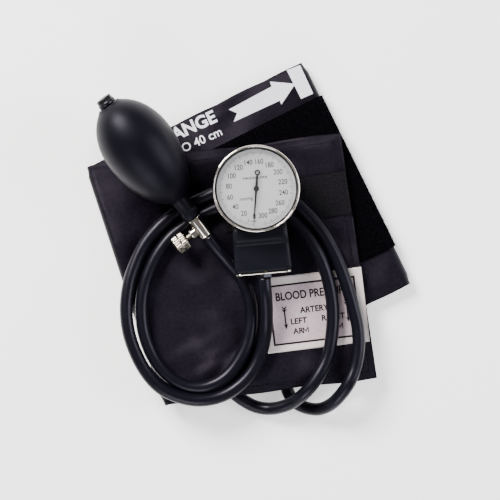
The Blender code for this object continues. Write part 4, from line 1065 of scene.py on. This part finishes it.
station = np.concatenate([np.linspace(5.3, 12, 22, endpoint=False), np.linspace(12, 66, 60, endpoint=False),
                          np.linspace(66, 86.6, 46)])
outside = bulb_radius(station)
bulb_wall = np.concatenate([np.column_stack([outside, station]),
                            np.column_stack([outside - WALL, station])[::-1]])
spun_piece("squeeze_bulb", [spun(bulb_wall, *BULB, 128)], "bulb_rubber", "bulb")

inlet_profile = eased_corners([(1.9, 12), (2.6, 12), (2.6, 5.0), (5.0, 5.0), (5.3, 4.6), (5.3, 2.9),
                               (4.7, 2.6), (4.7, 0.5), (4.2, 0), (1.2, 0), (1.2, 3.0), (1.9, 4.4)])
spun_piece("inlet_valve_cap", [spun(inlet_profile, *BULB, 72)],
           "nickel", "inlet_valve", finish=FINISHES["black_nickel"])

valve_profile = eased_corners([(1.3, 100.5), (3.7, 100.5), (4.5, 99.7), (4.5, 87.6), (4.3, 86.9),
                               (2.6, 86.9), (2.6, 74.6), (1.3, 74.6)])
boss_profile = eased_corners([(2.05, 7.2), (2.9, 7.2), (3.2, 6.8), (3.2, 2.6), (2.05, 2.6)])
spun_piece("release_valve_body", [spun(valve_profile, *BULB, 96),
                                  spun(boss_profile, *SCREW, 64)], "chrome", "valve_body")


def knurl(height, turn):
    """Grooves along the axis, only where the knob's two bands are."""
    bands = ((height > 11.2) & (height < 13.9)) | ((height > 14.9) & (height < 17.9))
    return np.where(bands, -GROOVE_DEPTH * np.abs(np.sin(turn * GROOVES / 2)), 0.0)


knob_profile = [(0, 19.3), (2.4, 19.1), (3.9, 18.6), (4.4, 18.2), (5.1, 18.2), (5.4, 17.8), (5.4, 17.7),
                (5.4, 16.4), (5.4, 15.1), (5.4, 15.0), (4.7, 14.7), (4.7, 14.1), (5.4, 13.8), (5.4, 13.7),
                (5.4, 12.5), (5.4, 11.3), (5.4, 11.1), (5.0, 10.7), (2.2, 10.2), (0, 10.2)]
knob_profile = eased_corners(knob_profile, 1, closed=False)
spun_piece("knurled_release_knob", [spun(knob_profile, *SCREW, 272, False, knurl)],
           "nickel", "release_knob", body="release_screw")

# %% [markdown]
# ### Gauge housing and bezel
# The housing is a bowl with a moulded neck below it that flares to 33 mm; its step is where the thick
# shoulder meets the lower neck. The neck is lofted: cross-sections with rounded corners follow one
# another down to the chromed clip. A rolled bezel of chromed brass holds the glass.

# %% Housing and bezel
BOX_SIDES, BOX_ROUNDNESS = 72, 0.24 # a roundness of 1 gives an ellipse, 0 a sharp box

bowl = eased_corners([(0, 2), (21, 2), (22, 3), (22, 18.2), (24, 18.2), (24, 2.5), (22, 0), (0, 0)],
                     closed=False)


def neck_loft():
    """Rounded boxes from inside the bowl's wall to the clip; the shoulder is higher than the neck."""
    down = np.array([20.5, 24.0, 27.0, 29.2, 30.0, 30.8, 32.5, 38.0, 44.0, 46.6, 47.4, 47.7])
    height = np.array([15.0, 15.0, 15.0, 14.9, 14.3, 11.6, 11.05, 11.0, 11.0, 10.9, 10.5, 9.7])
    half = 15.7 + 0.9 * (down - 23) / 24.7
    half[-3:] -= [0.2, 0.6, 1.3]
    turn = np.linspace(0, 2 * np.pi, BOX_SIDES, endpoint=False)
    wave = np.stack([np.cos(turn), np.sin(turn)])
    corner = np.sign(wave) * np.abs(wave) ** BOX_ROUNDNESS
    x = half[:, None] * corner[0][None]
    z = height[:, None] / 2 * (1 + corner[1][None])
    y = np.broadcast_to(-down[:, None], x.shape)
    first, last = [np.stack([x[k] * 0, y[k], z[k] * 0 + height[k] / 2], -1) for k in (0, -1)]
    local = np.concatenate([first[None], np.stack([x, y, z], -1), last[None]])
    faces = quads(len(local), BOX_SIDES, wrap_columns=True)
    return (local @ GAUGE_AXES + GAUGE_CENTRE).reshape(-1, 3), faces


spun_piece("gauge_housing", [spun(bowl, *GAUGE, 128, closed=False), neck_loft()],
           "moulding", "gauge_case")

bezel_profile = eased_corners([(23.7, 23.9), (23.9, 24.5), (24.2, 24.7), (24.7, 24.5), (25.0, 23.7),
                               (25.0, 17.4), (24.7, 16.9), (24.3, 16.9), (24.3, 23.6), (23.7, 23.6)])
spun_piece("rolled_bezel", [spun(bezel_profile, *GAUGE, 160)], "chrome", "bezel")

roll_ends = (np.array([[-15.6, -48.45, 9.3], [15.6, -48.45, 9.3]]) @ GAUGE_AXES + GAUGE_CENTRE) * MM
finished(round_bar("clip_rolled_edge", np.linspace(*roll_ends, 12), 0.62 * MM), "chrome")

# %% [markdown]
# ### Dial print
# The scale runs clockwise from 0 near the bottom to 300, which is 342 degrees. Long ticks stand every
# 10, short ones every 2; numbers stand upright every 20. A small bracket marks the zero band.

# %% Scale and numbers
DIAL_TOP = 19.1
SWEEP, ZERO = np.radians(342), np.radians(-99)
TICK_END, NUMBER_RADIUS = 21.2, 15.7
AT_CENTRE = ((0, 0), 0)


def dial_way(value):
    """The direction from the dial's centre to one or more values of the scale."""
    turn = ZERO - SWEEP * np.asarray(value, dtype=float) / 300
    return np.stack([np.cos(turn), np.sin(turn)], -1)


def ticks(values, inner, width):
    return bars(np.stack([dial_way(values) * inner, dial_way(values) * TICK_END], 1), width), *AT_CENTRE


def centred(word, place):
    """A word of letters() with its middle at a place."""
    points, faces = word
    return (points - (points.min(axis=0) + points.max(axis=0)) / 2, faces), place, 0


def number(value):
    points, faces = letters(str(value), 2.9, 0.05)
    return centred((points * [0.84, 1.0], faces), dial_way(value) * NUMBER_RADIUS)


bracket = (dial_way([-2.5, 9.0])[:, None] * np.array([17.9, 19.0])[:, None]).reshape(4, 2)[[0, 1, 3, 2]]
flat, faces = gathered([
    ticks([value for value in range(0, 301, 2) if value % 10], 20.2, 0.12),
    ticks(range(0, 301, 10), 19.4, 0.2), *[number(value) for value in range(0, 301, 20)],
    (bars(list(zip(bracket, bracket[1:])), 0.25), *AT_CENTRE),
    centred(letters("PRESSURE", 1.3, 0.03, 14.0), (0, 6.3)),
    centred(letters("mmHg", 1.9, 0.02), (-6.0, -5.4)),
])
on_dial = raised(flat, DIAL_TOP + 0.04) @ GAUGE_AXES + GAUGE_CENTRE
finished(mesh_piece("dial_print", on_dial * MM, faces, smooth=False), "dial_enamel", finish=dial_ink)
